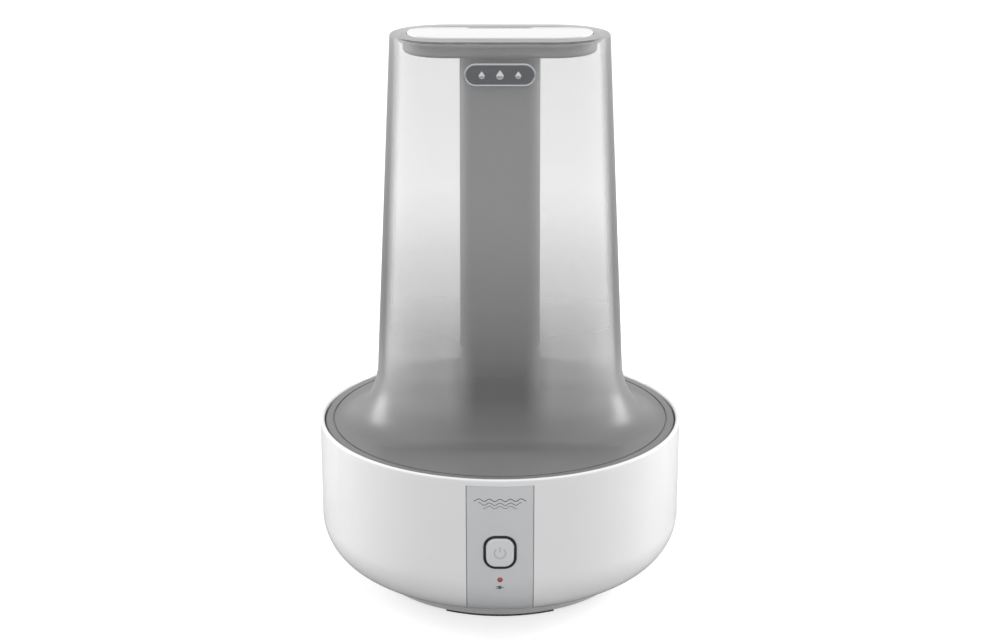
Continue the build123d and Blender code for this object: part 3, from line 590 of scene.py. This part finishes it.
def wrapped(shape):
    """Lays a flat shape, drawn in X and Z at Y = 0, on the round front of the bowl."""
    for vert in shape.verts:
        reach = base_radius
        if vert.co.z < floor_height + bottom_corner:
            drop = floor_height + bottom_corner - vert.co.z
            reach = base_radius - bottom_corner + math.sqrt(bottom_corner ** 2 - drop ** 2)
        vert.co.y -= math.sqrt(reach ** 2 - vert.co.x ** 2)
    return shape


def ink_stroke(points, width):
    """A flat stroke of ink with square ends along a line of (x, z) points."""
    shape = bmesh.new()
    rails = []
    for index, (x, z) in enumerate(points):
        before = points[max(index - 1, 0)]
        after = points[min(index + 1, len(points) - 1)]
        along = Vector((after[0] - before[0], after[1] - before[1])).normalized()
        side = Vector((-along.y, along.x)) * width / 2
        rails.append([shape.verts.new((x + s * side.x, 0, z + s * side.y)) for s in (1, -1)])
    for (a, b), (c, d) in zip(rails, rails[1:]):
        shape.faces.new((a, b, d, c))
    grown = bmesh.ops.extrude_face_region(shape, geom=shape.faces[:])
    front = [v for v in grown["geom"] if isinstance(v, bmesh.types.BMVert)]
    bmesh.ops.translate(shape, verts=front, vec=(0, -ink_height, 0))
    bmesh.ops.recalc_face_normals(shape, faces=shape.faces[:])
    return shape


plug_level = 38.4 * MM
plug_line = 0.45 * MM
plug_width = 2.3 * MM
plug_sign = ink_stroke([(0.9 * MM, plug_level), (2.7 * MM, plug_level)], plug_line)
plug_body = ink_stroke([(-1.2 * MM, plug_level), (0.9 * MM, plug_level)], plug_width)
plug_sign = joined(plug_sign, plug_body)
for rise in (-0.65, 0.65):
    prong = [(-2.6 * MM, plug_level + rise * MM), (-1.2 * MM, plug_level + rise * MM)]
    plug_sign = joined(plug_sign, ink_stroke(prong, plug_line))
plug_piece = made_piece("plug_sign", wrapped(plug_sign), ink_grey)
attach(plug_piece, "base")

wave_level = 96.0 * MM
wave_span = 33.0 * MM
wave_swing = 0.8 * MM
wave_count = 5
wave_steps = 144
waves = None
for level, width, reach in ((2.4, 0.5, 1.0), (-0.2, 0.4, 0.82), (-2.4, 0.3, 0.64)):
    line = []
    for step in range(wave_steps + 1):
        along = step / wave_steps - 0.5
        swing = wave_swing * math.cos(along * reach * 2 * math.pi * wave_count)
        line.append((along * wave_span * reach, wave_level + level * MM + swing))
    stroke = ink_stroke(line, width * MM)
    waves = stroke if waves is None else joined(waves, stroke)
wave_piece = made_piece("mist_waves", wrapped(waves), ink_grey)
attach(wave_piece, "base")


# Tank: one smoky translucent moulding. A flat round foot with a fine groove flares up into an
# oblong tower that tapers to a flat ring round the outlet dish.

def object_axes(paint):
    """A place on the piece, as its X, Y and Z."""
    nodes = paint.node_tree.nodes
    place = nodes.new("ShaderNodeTexCoord")
    axes = nodes.new("ShaderNodeSeparateXYZ")
    paint.node_tree.links.new(place.outputs["Object"], axes.inputs["Vector"])
    return axes.outputs


def height_ramp(paint, levels, values):
    """A grey value that changes with height."""
    nodes = paint.node_tree.nodes
    links = paint.node_tree.links
    climb = nodes.new("ShaderNodeMapRange")
    climb.inputs["From Min"].default_value = levels[0]
    climb.inputs["From Max"].default_value = levels[-1]
    links.new(object_axes(paint)["Z"], climb.inputs["Value"])
    ramp = nodes.new("ShaderNodeValToRGB")
    stops = ramp.color_ramp.elements
    while len(stops) < len(levels):
        stops.new(0.5)
    for stop, level, value in zip(stops, levels, values):
        stop.position = (level - levels[0]) / (levels[-1] - levels[0])
        stop.color = (value, value, value * 1.01, 1)
    links.new(climb.outputs["Result"], ramp.inputs["Fac"])
    return ramp.outputs["Color"]


def soft_step(paint, value, start, end):
    """Climbs softly from 0 at one value to 1 at another."""
    step = paint.node_tree.nodes.new("ShaderNodeMapRange")
    step.interpolation_type = "SMOOTHSTEP"
    step.inputs["From Min"].default_value = start
    step.inputs["From Max"].default_value = end
    paint.node_tree.links.new(value, step.inputs["Value"])
    return step.outputs["Result"]


def blended(paint, share, first, second):
    """Goes from one tone to another. Inputs 4 and 5 and output 1 are a Mix node's vector ones."""
    mix = paint.node_tree.nodes.new("ShaderNodeMix")
    mix.data_type = "VECTOR"
    paint.node_tree.links.new(share, mix.inputs["Factor"])
    paint.node_tree.links.new(first, mix.inputs[4])
    paint.node_tree.links.new(second, mix.inputs[5])
    return mix.outputs[1]


def tinted(paint, levels, tint_and_light_tones, passage_shade_tones, edge_tones, solids, edge_solid):
    """Makes a plastic smoky clear. Density changes with height, as the wall's tint does. Tone
    changes with height too: darker towards the foot, and lighter just above the flare, which is
    painted light. A soft band of painted shade darkens the tone in front of the passage. The
    plastic looks darker and denser at a glancing angle, where light crosses more of it."""
    nodes = paint.node_tree.nodes
    links = paint.node_tree.links
    shader = nodes["Principled BSDF"]
    drift = shader.inputs["Base Color"].links[0].from_socket
    glance = nodes.new("ShaderNodeLayerWeight")
    glance.inputs["Blend"].default_value = 0.5
    glancing = soft_step(paint, glance.outputs["Facing"], 0.44, 0.64)
    off_middle = nodes.new("ShaderNodeMath")
    off_middle.operation = "ABSOLUTE"
    links.new(object_axes(paint)["X"], off_middle.inputs[0])
    band = soft_step(paint, off_middle.outputs["Value"], passage_shade_edge, passage_shade_core)
    side = height_ramp(paint, levels, tint_and_light_tones)
    middle = height_ramp(paint, levels, passage_shade_tones)
    facing = blended(paint, band, side, middle)
    tone = blended(paint, glancing, facing, height_ramp(paint, levels, edge_tones))
    varied = nodes.new("ShaderNodeVectorMath")
    varied.operation = "MULTIPLY"
    links.new(tone, varied.inputs[0])
    links.new(drift, varied.inputs[1])
    links.new(varied.outputs["Vector"], shader.inputs["Base Color"])
    dense = nodes.new("ShaderNodeMapRange")
    dense.inputs["To Max"].default_value = edge_solid
    links.new(glancing, dense.inputs["Value"])
    links.new(height_ramp(paint, levels, solids), dense.inputs["To Min"])
    links.new(dense.outputs["Result"], shader.inputs["Alpha"])
    shader.inputs["IOR"].default_value = 1.45
    return paint


# Painted shade: the wall's tone darkens in front of the passage, fully within 14 mm of the middle
# and not at all beyond 36 mm.
passage_shade_edge = 36 * MM
passage_shade_core = 14 * MM
tint_levels = (0.1035, 0.1115, 0.125, 0.138, 0.152, 0.166, 0.186, 0.216, 0.262, 0.3716)
# Painted light: the outer wall's tone is lighter just above the flare than higher up.
smoke = tinted(
    plastic(
        "smoky_clear_plastic", (0.98, 0.98, 0.98),
        roughness=0.31, grain=0.8 * MM, relief=0.0004 * MM,
    ),
    tint_levels,
    tint_and_light_tones=(0.18, 0.18, 0.28, 0.46, 0.67, 0.74, 0.60, 0.46, 0.54, 0.56),
    passage_shade_tones=(0.18, 0.17, 0.18, 0.18, 0.22, 0.27, 0.33, 0.42, 0.54, 0.56),
    edge_tones=(0.18, 0.19, 0.23, 0.26, 0.26, 0.20, 0.16, 0.15, 0.19, 0.32),
    solids=(0.94, 0.92, 0.84, 0.68, 0.58, 0.48, 0.30, 0.23, 0.15, 0.14),
    edge_solid=0.92,
)
# Painted light: the inner faces are a lighter copy of the smoky plastic, lightest towards the
# foot.
lining_light_tones = (0.85, 0.85, 0.80, 0.60, 0.55, 0.55, 0.50, 0.48, 0.58, 0.58)
smoke_lining = tinted(
    plastic(
        "smoky_lining_plastic", (0.98, 0.98, 0.98),
        roughness=0.34, grain=0.8 * MM, relief=0.0004 * MM,
    ),
    tint_levels,
    tint_and_light_tones=lining_light_tones,
    passage_shade_tones=(0.40, 0.40, 0.35, 0.25, 0.30, 0.40, 0.45, 0.48, 0.58, 0.58),
    edge_tones=lining_light_tones,
    solids=(0.94, 0.94, 0.70, 0.40, 0.32, 0.28, 0.25, 0.22, 0.14, 0.14),
    edge_solid=0.5,
)

tank_low, tank_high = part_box("tank_shell")
tower_top = tank_high.z
tank_radius = tank_high.x
top_half_width = 71.15 * MM
top_half_depth = 37.35 * MM
side_slope = 0.0515
front_slope = 0.0345
flare_reach = 27.0 * MM
flare_height = 37.0 * MM
disc_top = 110.7 * MM
tank_wall = 2.5 * MM
ring_thickness = 2.2 * MM
groove_radius = 113.3 * MM
groove_half = 0.6 * MM
groove_depth = 0.8 * MM
dish_half_width = 62.85 * MM
dish_half_depth = 29.05 * MM
foot_round = 1.3 * MM
top_edge = 1.1 * MM
flare_steps = 32
tower_steps = 24
flat_points = 16
end_points = 72


def oblong_ring(shape, half_width, half_depth, height):
    """A closed ring of vertices: straight along the front and back, round at both ends."""
    straight = half_width - half_depth
    places = []
    for side in (1, -1):
        for step in range(end_points):
            turn = (0 if side == 1 else math.pi) - math.pi / 2 + math.pi * step / end_points
            reach = side * straight + half_depth * math.cos(turn)
            places.append((reach, half_depth * math.sin(turn)))
        for step in range(flat_points):
            along = straight - 2 * straight * step / flat_points
            places.append((side * along, side * half_depth))
    return [shape.verts.new((x, y, height)) for x, y in places]


def round_ring(shape, guide, radius, height):
    """A closed ring of vertices on a circle, each in the direction of a guide ring's vertex."""
    return [
        shape.verts.new((*(Vector(v.co.xy).normalized() * radius), height)) for v in guide
    ]


def skinned(shape, rings, slot=0):
    """Faces between each ring and the next."""
    for lower, upper in zip(rings, rings[1:]):
        for index in range(len(lower)):
            after = (index + 1) % len(lower)
            face = shape.faces.new((lower[index], lower[after], upper[after], upper[index]))
            face.material_index = slot


def tower_rings(shape, inset, top):
    """The rings of the tower's skin, set in by an amount, from the foot of its flare to a top."""
    levels = []
    for step in range(flare_steps + 1):
        turn = math.pi / 2 * (1 - step / flare_steps)
        height = disc_top + flare_height - (flare_height + inset) * math.sin(turn)
        levels.append((height, flare_reach - (flare_reach + inset) * math.cos(turn)))
    start = disc_top + flare_height
    for step in range(1, tower_steps + 1):
        levels.append((start + (top - start) * step / tower_steps, -inset))
    rings = []
    for height, spread in levels:
        climb = tower_top - height
        rings.append(
            oblong_ring(
                shape, top_half_width + side_slope * climb + spread,
                top_half_depth + front_slope * climb + spread, height,
            )
        )
    return rings


def quarter_round(radius, segments, first=1):
    """How far in and how far down each step of a rounded edge is, from its side to its top."""
    for step in range(first, segments + 1):
        turn = math.pi / 2 * step / segments
        yield radius * (1 - math.cos(turn)), radius * (1 - math.sin(turn))


tank = bmesh.new()
outer = tower_rings(tank, 0, tower_top - top_edge)
inner = tower_rings(tank, tank_wall, tower_top - ring_thickness)
guide = outer[0]
foot = [
    round_ring(tank, guide, tank_radius - tank_wall, tank_low.z),
    round_ring(tank, guide, tank_radius, tank_low.z),
    round_ring(tank, guide, tank_radius, disc_top - foot_round),
]
for pull, drop in quarter_round(foot_round, 6):
    foot.append(round_ring(tank, guide, tank_radius - pull, disc_top - drop))
for half_gap, depth in ((1, 0), (0.7, groove_depth), (-0.7, groove_depth), (-1, 0)):
    foot.append(round_ring(tank, guide, groove_radius + half_gap * groove_half, disc_top - depth))
rim = [
    oblong_ring(tank, top_half_width - pull, top_half_depth - pull, tower_top - drop)
    for pull, drop in quarter_round(top_edge, 6)
]
rim.append(oblong_ring(tank, dish_half_width, dish_half_depth, tower_top))
rim.append(oblong_ring(tank, dish_half_width, dish_half_depth, tower_top - ring_thickness))
roof = [round_ring(tank, guide, tank_radius - tank_wall, disc_top - tank_wall)]
skinned(tank, foot + outer + rim)
skinned(tank, rim[-1:] + inner[::-1] + roof + foot[:1], slot=1)
bmesh.ops.recalc_face_normals(tank, faces=tank.faces[:])
tank_piece = made_piece("tank_moulding", tank, smoke, crease=40)
tank_piece.data.materials.append(smoke_lining)
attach(tank_piece, "tank")
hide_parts("tank_shell")


# Top cover: a white lid that lies in the dish. Its edge is soft, and at the rear it slopes
# down to the slot where the mist comes out.

cover_white = plastic(
    "cover_white_plastic", (0.74, 0.74, 0.745),
    roughness=0.3, grain=1.2 * MM, relief=0.004 * MM, coat=0.2, shade=0.01,
)

cover_low, cover_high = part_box("top_cover")
cover_half_width = cover_high.x
cover_half_depth = cover_high.y
cover_edge = 0.9 * MM
cover_slope = math.radians(5)
slot_half_width = 22 * MM
slot_half_depth = 4 * MM
slope_reach = 16 * MM
cover_break = cover_half_depth - slope_reach
cover_wall = 2 * MM


def capped(shape, rings):
    """Joins rings into a skin and closes both ends of it."""
    skinned(shape, rings)
    shape.faces.new(rings[0][::-1])
    return shape.faces.new(rings[-1])


def sloped(shape, top):
    """Slices a closed block along the slope at the rear of the cover."""
    bmesh.ops.bisect_plane(
        shape, geom=shape.verts[:] + shape.edges[:] + shape.faces[:], dist=1e-7,
        plane_co=(0, cover_break, top), plane_no=(0, math.sin(cover_slope), math.cos(cover_slope)),
        clear_outer=True,
    )
    bmesh.ops.holes_fill(shape, edges=[e for e in shape.edges if e.is_boundary])


lid = bmesh.new()
lid_rings = [oblong_ring(lid, cover_half_width, cover_half_depth, cover_low.z)]
for pull, drop in quarter_round(cover_edge, 5, first=0):
    lid_rings.append(
        oblong_ring(lid, cover_half_width - pull, cover_half_depth - pull, cover_high.z - drop)
    )
capped(lid, lid_rings)
sloped(lid, cover_high.z)
slope_face = max(lid.faces, key=lambda f: f.normal.y * f.calc_area() * (f.normal.z > 0.5))
bmesh.ops.bevel(
    lid, geom=slope_face.edges[:], affect="EDGES", offset=0.6 * MM, segments=4, profile=0.5,
    material=-1,
)
bmesh.ops.recalc_face_normals(lid, faces=lid.faces[:])
cover = made_piece("white_cover", lid, cover_white)

hollow = bmesh.new()
hollow_top = cover_high.z - cover_wall
hollow_rings = [
    oblong_ring(hollow, cover_half_width - cover_wall, cover_half_depth - cover_wall, height)
    for height in (cover_low.z - 1 * MM, hollow_top)
]
capped(hollow, hollow_rings)
sloped(hollow, hollow_top)
bmesh.ops.recalc_face_normals(hollow, faces=hollow.faces[:])
carved(cover, hollow)

slot = bmesh.new()
slot_rings = [
    oblong_ring(slot, slot_half_width, slot_half_depth, height)
    for height in (cover_low.z - 2 * MM, cover_high.z + 2 * MM)
]
capped(slot, slot_rings)
bmesh.ops.translate(slot, verts=slot.verts[:], vec=(0, cover_break + slope_reach / 2, 0))
bmesh.ops.recalc_face_normals(slot, faces=slot.faces[:])
carved(cover, slot)
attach(cover, "top_cover")
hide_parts("top_cover")


# Badge: a die-cast plate with a bright plated rim and three plain drops standing on a
# brushed field, bonded to the flat front of the tower.

def metal(name, colour, roughness, stretch, relief=0.000002):
    """Bright metal with fine lines that run one way."""
    paint = bpy.data.materials.new(name)
    paint.use_nodes = True
    nodes = paint.node_tree.nodes
    links = paint.node_tree.links
    shader = nodes["Principled BSDF"]
    shader.inputs["Metallic"].default_value = 1.0
    place = nodes.new("ShaderNodeTexCoord")
    spread = nodes.new("ShaderNodeMapping")
    spread.inputs["Scale"].default_value = stretch
    links.new(place.outputs["Object"], spread.inputs["Vector"])
    lines = nodes.new("ShaderNodeTexNoise")
    lines.inputs["Scale"].default_value = 900
    lines.inputs["Detail"].default_value = 2
    links.new(spread.outputs["Vector"], lines.inputs["Vector"])
    tone = nodes.new("ShaderNodeValToRGB")
    tone.color_ramp.elements[0].color = (*[c * 0.93 for c in colour], 1)
    tone.color_ramp.elements[1].color = (*[min(1.0, c * 1.05) for c in colour], 1)
    links.new(lines.outputs["Fac"], tone.inputs["Fac"])
    links.new(tone.outputs["Color"], shader.inputs["Base Color"])
    gloss = nodes.new("ShaderNodeMapRange")
    gloss.inputs["To Min"].default_value = roughness * 0.75
    gloss.inputs["To Max"].default_value = roughness * 1.25
    links.new(lines.outputs["Fac"], gloss.inputs["Value"])
    links.new(gloss.outputs["Result"], shader.inputs["Roughness"])
    bump = nodes.new("ShaderNodeBump")
    bump.inputs["Distance"].default_value = relief
    links.new(lines.outputs["Fac"], bump.inputs["Height"])
    links.new(bump.outputs["Normal"], shader.inputs["Normal"])
    return paint


badge_chrome = metal("bright_chrome_plate", (0.62, 0.63, 0.65), roughness=0.10, stretch=(1, 1, 1))
badge_field = metal(
    "badge_brushed_field", (0.20, 0.205, 0.215), roughness=0.32, stretch=(0.06, 1, 1),
)

badge_low, badge_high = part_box("badge_plate")
badge_half_width = badge_high.x
badge_lean = math.atan(front_slope)
badge_level = (badge_low.z + badge_high.z) / 2
badge_half_height = 7.25 * MM
badge_thickness = 1.3 * MM
badge_rim = 1.3 * MM
badge_front = top_half_depth + front_slope * (tower_top - badge_level)
badge_seat = (
    Matrix.Translation((0, -badge_front, badge_level))
    @ Matrix.Rotation(math.pi / 2 - badge_lean, 4, "X")
)
lip = 0.35 * MM
field_level = badge_thickness - 0.55 * MM

plate = bmesh.new()
steps_up = [
    (0, 0), (0, badge_thickness - lip), (lip * 0.3, badge_thickness - lip * 0.3),
    (lip, badge_thickness), (badge_rim - lip, badge_thickness),
    (badge_rim - lip * 0.3, badge_thickness - lip * 0.3), (badge_rim, field_level),
]
plate_rings = [
    oblong_ring(plate, badge_half_width - pull, badge_half_height - pull, height)
    for pull, height in steps_up
]
field = capped(plate, plate_rings)
field.material_index = 1
bmesh.ops.recalc_face_normals(plate, faces=plate.faces[:])
bmesh.ops.transform(plate, matrix=badge_seat, verts=plate.verts[:])
badge = made_piece("badge", plate, badge_chrome, crease=50)
badge.data.materials.append(badge_field)
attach(badge, "tank")
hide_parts("badge_plate")

drops = bmesh.new()
drop_radius = 2.6 * MM
for place, size in ((-11.5, 0.8), (0, 1.0), (11.5, 0.8)):
    drop = bmesh.new()
    drop_reach = drop_radius * size
    bmesh.ops.create_uvsphere(drop, u_segments=24, v_segments=14, radius=drop_reach)
    for vert in drop.verts:
        rise = vert.co.y / drop_reach
        if rise > 0:
            vert.co.x *= max(0.0, 1 - rise) ** 0.65
            vert.co.z *= 1 - 0.5 * rise
            vert.co.y *= 1.45
    bmesh.ops.scale(drop, verts=drop.verts[:], vec=(1, 1, 0.28))
    bmesh.ops.translate(drop, verts=drop.verts[:], vec=(place * MM, -0.6 * MM, field_level))
    drops = joined(drops, drop)
bmesh.ops.transform(drops, matrix=badge_seat, verts=drops.verts[:])
bmesh.ops.recalc_face_normals(drops, faces=drops.faces[:])
drop_piece = made_piece("badge_drops", drops, badge_chrome, crease=60)
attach(drop_piece, "tank")


# Mist passage: a grey duct, moulded on its own and set upright inside the tank on the bottom
# plate's opening. It leads the mist up, and shows through the smoky wall as a dark band that
# painted shade in the wall's tone deepens.

def dressed(paint, *names):
    """Gives pieces of the frame their finish, in the material slots that they have."""
    for name in names:
        for part_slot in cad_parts[name].material_slots:
            part_slot.material = paint


chimney_grey = plastic(
    "chimney_grey_plastic", (0.35, 0.352, 0.356),
    roughness=0.5, grain=0.9 * MM, relief=0.001 * MM, shade=0.02,
)
dressed(chimney_grey, "mist_chimney")


# Outlet dish: an oblong dish moulded in the same grey plastic and fixed in the tank's top
# ring. The mist comes up into it, and the white cover lies on it.

dish_grey = plastic(
    "dish_grey_plastic", (0.38, 0.382, 0.386),
    roughness=0.45, grain=0.9 * MM, relief=0.001 * MM, shade=0.02,
)
dressed(dish_grey, "outlet_dish")


# Tank bottom: the plate that closes the tank from below, moulded in the tank's smoky plastic
# with its filling neck.

bottom_smoke = plastic(
    "smoky_plate_plastic", (0.45, 0.452, 0.456),
    roughness=0.3, grain=0.9 * MM, relief=0.003 * MM, coat=0.1, shade=0.02,
)
bottom_smoke.node_tree.nodes["Principled BSDF"].inputs["Alpha"].default_value = 0.9
dressed(bottom_smoke, "tank_bottom")


# White mouldings: the basin, the keeper pushed on its float post, the duct that leads the
# fan's air up to it, and the tank's turning cap with its valve. All are satin white plastic.

inner_white = plastic(
    "moulded_white_plastic", (0.72, 0.73, 0.73),
    roughness=0.42, grain=0.7 * MM, relief=0.01 * MM, shade=0.02,
)
dressed(inner_white, "basin", "float_keeper", "air_duct", "tank_cap", "valve_plunger")


# Bottom cover: the light grey plate, screwed on from below, that closes the base. Its foot
# ring shows under the bowl.

foot_grey = plastic(
    "foot_grey_plastic", (0.66, 0.665, 0.67),
    roughness=0.4, grain=0.7 * MM, relief=0.01 * MM, shade=0.02,
)
dressed(foot_grey, "bottom_cover")


# Black mouldings: the power switch and its pin, the level sensor's case, the fan's frame and
# blades, and the mains inlet in the rear wall. All are matt black plastic.

part_black = plastic(
    "moulded_black_plastic", (0.02, 0.02, 0.021),
    roughness=0.45, grain=0.6 * MM, relief=0.012 * MM, shade=0.05,
)
dressed(
    part_black, "power_switch", "switch_plunger", "level_sensor", "fan_housing", "fan_rotor",
    "power_inlet",
)


# Float: a ring of fine foamed white plastic that rides up its post on the water. Its magnet
# sits in a pocket in it.

float_white = plastic(
    "foamed_white_plastic", (0.75, 0.75, 0.73),
    roughness=0.7, grain=0.4 * MM, relief=0.03 * MM, shade=0.04,
)
dressed(float_white, "float_ring")


# Rubber feet: four curved pads of matt grey rubber, pressed into the groove of the foot ring.
# The object stands on them.

grey_rubber = plastic(
    "grey_rubber", (0.085, 0.085, 0.088),
    roughness=0.75, grain=0.5 * MM, relief=0.03 * MM, shade=0.06,
)
dressed(grey_rubber, "rubber_feet")


# Seals: moulded rings of matt black rubber. One holds the transducer's disc, one seals the
# tank's cap to its neck, and one closes the valve.

black_rubber = plastic(
    "black_rubber", (0.015, 0.015, 0.015),
    roughness=0.7, grain=0.4 * MM, relief=0.02 * MM, shade=0.08,
)
dressed(black_rubber, "transducer_seal", "cap_gasket", "valve_seal")


# Capacitors: two upright cans on the power board, each in a dark sleeve of shrunk plastic
# film.

sleeve_black = plastic(
    "shrink_sleeve", (0.02, 0.022, 0.04),
    roughness=0.25, grain=2 * MM, relief=0.01 * MM, coat=0.3, shade=0.05,
)
dressed(sleeve_black, "smoothing_capacitors")


# Indicator lamp: a small light of cast red resin, soldered to the control board behind the
# light pipe.

led_red = plastic(
    "led_red_resin", (0.5, 0.03, 0.02),
    roughness=0.2, grain=1 * MM, relief=0.002 * MM, coat=0.4,
)
dressed(led_red, "indicator_led")


# Ferrite parts: the transformer on the power board and the float's ring magnet, pressed from
# powder and sintered to a dark, slightly rough grey.

ferrite = plastic(
    "sintered_ferrite", (0.035, 0.035, 0.038),
    roughness=0.6, grain=0.3 * MM, relief=0.02 * MM, shade=0.12,
)
dressed(ferrite, "power_transformer", "float_magnet")


# Screws and valve spring: zinc-plated steel, the screws formed cold from wire and the spring
# wound from it.

zinc_steel = metal("zinc_plated_steel", (0.55, 0.55, 0.56), roughness=0.28, stretch=(1, 1, 0.15))
dressed(
    zinc_steel, "control_board_screws", "bottom_cover_screws", "basin_screws",
    "transducer_screws", "fan_screws", "circuit_board_screws", "valve_spring",
)


# Transducer retainer: a plate stamped from brushed sheet steel. Four screws clamp it, and the
# rubber ring over it, to the underside of the basin's well.

brushed_steel = metal(
    "brushed_sheet_steel", (0.56, 0.57, 0.58), roughness=0.34, stretch=(0.05, 1, 1),
)
dressed(brushed_steel, "transducer_retainer")


# Aluminium parts: the finned block under the retainer, and the driver's power transistor with
# its own small heat sink. Both are extruded and left satin.

satin_aluminium = metal(
    "extruded_aluminium", (0.66, 0.67, 0.68), roughness=0.36, stretch=(1, 0.04, 1),
)
dressed(satin_aluminium, "heat_sink", "driver_transistor")


# Inlet pins: two bright pins of drawn brass, moulded into the mains inlet, with tails for
# soldering.

bright_brass = metal("drawn_brass", (0.78, 0.58, 0.25), roughness=0.2, stretch=(1, 0.05, 1))
dressed(bright_brass, "inlet_pins")


# Transducer disc: a thin round plate of plated ceramic under the basin's well. It shakes the
# water into mist.

piezo_face = metal("plated_ceramic", (0.74, 0.66, 0.45), roughness=0.3, stretch=(1, 1, 1))
dressed(piezo_face, "transducer_disc")


# Drive coil: a ring wound from lacquered copper wire, soldered to the driver board beside the
# transistor.

copper_wire = metal(
    "lacquered_copper", (0.72, 0.33, 0.15), roughness=0.3, stretch=(1, 1, 0.1), relief=0.01 * MM,
)
dressed(copper_wire, "drive_coil")


# Circuit boards: flat boards under green solder mask, screwed to posts and to the shell. The
# copper tracks under the mask show as a paler net.

mask_green = plastic(
    "solder_mask_green", (0.012, 0.12, 0.05),
    roughness=0.3, grain=1 * MM, relief=0.004 * MM, coat=0.3,
)
mask_nodes = mask_green.node_tree.nodes
mask_links = mask_green.node_tree.links
mask_shader = mask_nodes["Principled BSDF"]
plain_tone = mask_shader.inputs["Base Color"].links[0].from_node
mask_nodes.remove(plain_tone.inputs["Fac"].links[0].from_node)
mask_nodes.remove(plain_tone)
board_place = mask_nodes.new("ShaderNodeTexCoord")
tracks = mask_nodes.new("ShaderNodeTexVoronoi")
tracks.feature = "DISTANCE_TO_EDGE"
tracks.distance = "MANHATTAN"
tracks.inputs["Scale"].default_value = 260
mask_links.new(board_place.outputs["Object"], tracks.inputs["Vector"])
track_line = mask_nodes.new("ShaderNodeValToRGB")
track_line.color_ramp.elements[0].position = 0.05
track_line.color_ramp.elements[0].color = (0.03, 0.22, 0.09, 1)
track_line.color_ramp.elements[1].position = 0.09
track_line.color_ramp.elements[1].color = (0.012, 0.12, 0.05, 1)
mask_links.new(tracks.outputs["Distance"], track_line.inputs["Fac"])
mask_links.new(track_line.outputs["Color"], mask_shader.inputs["Base Color"])
dressed(mask_green, "control_board", "driver_board", "power_board")
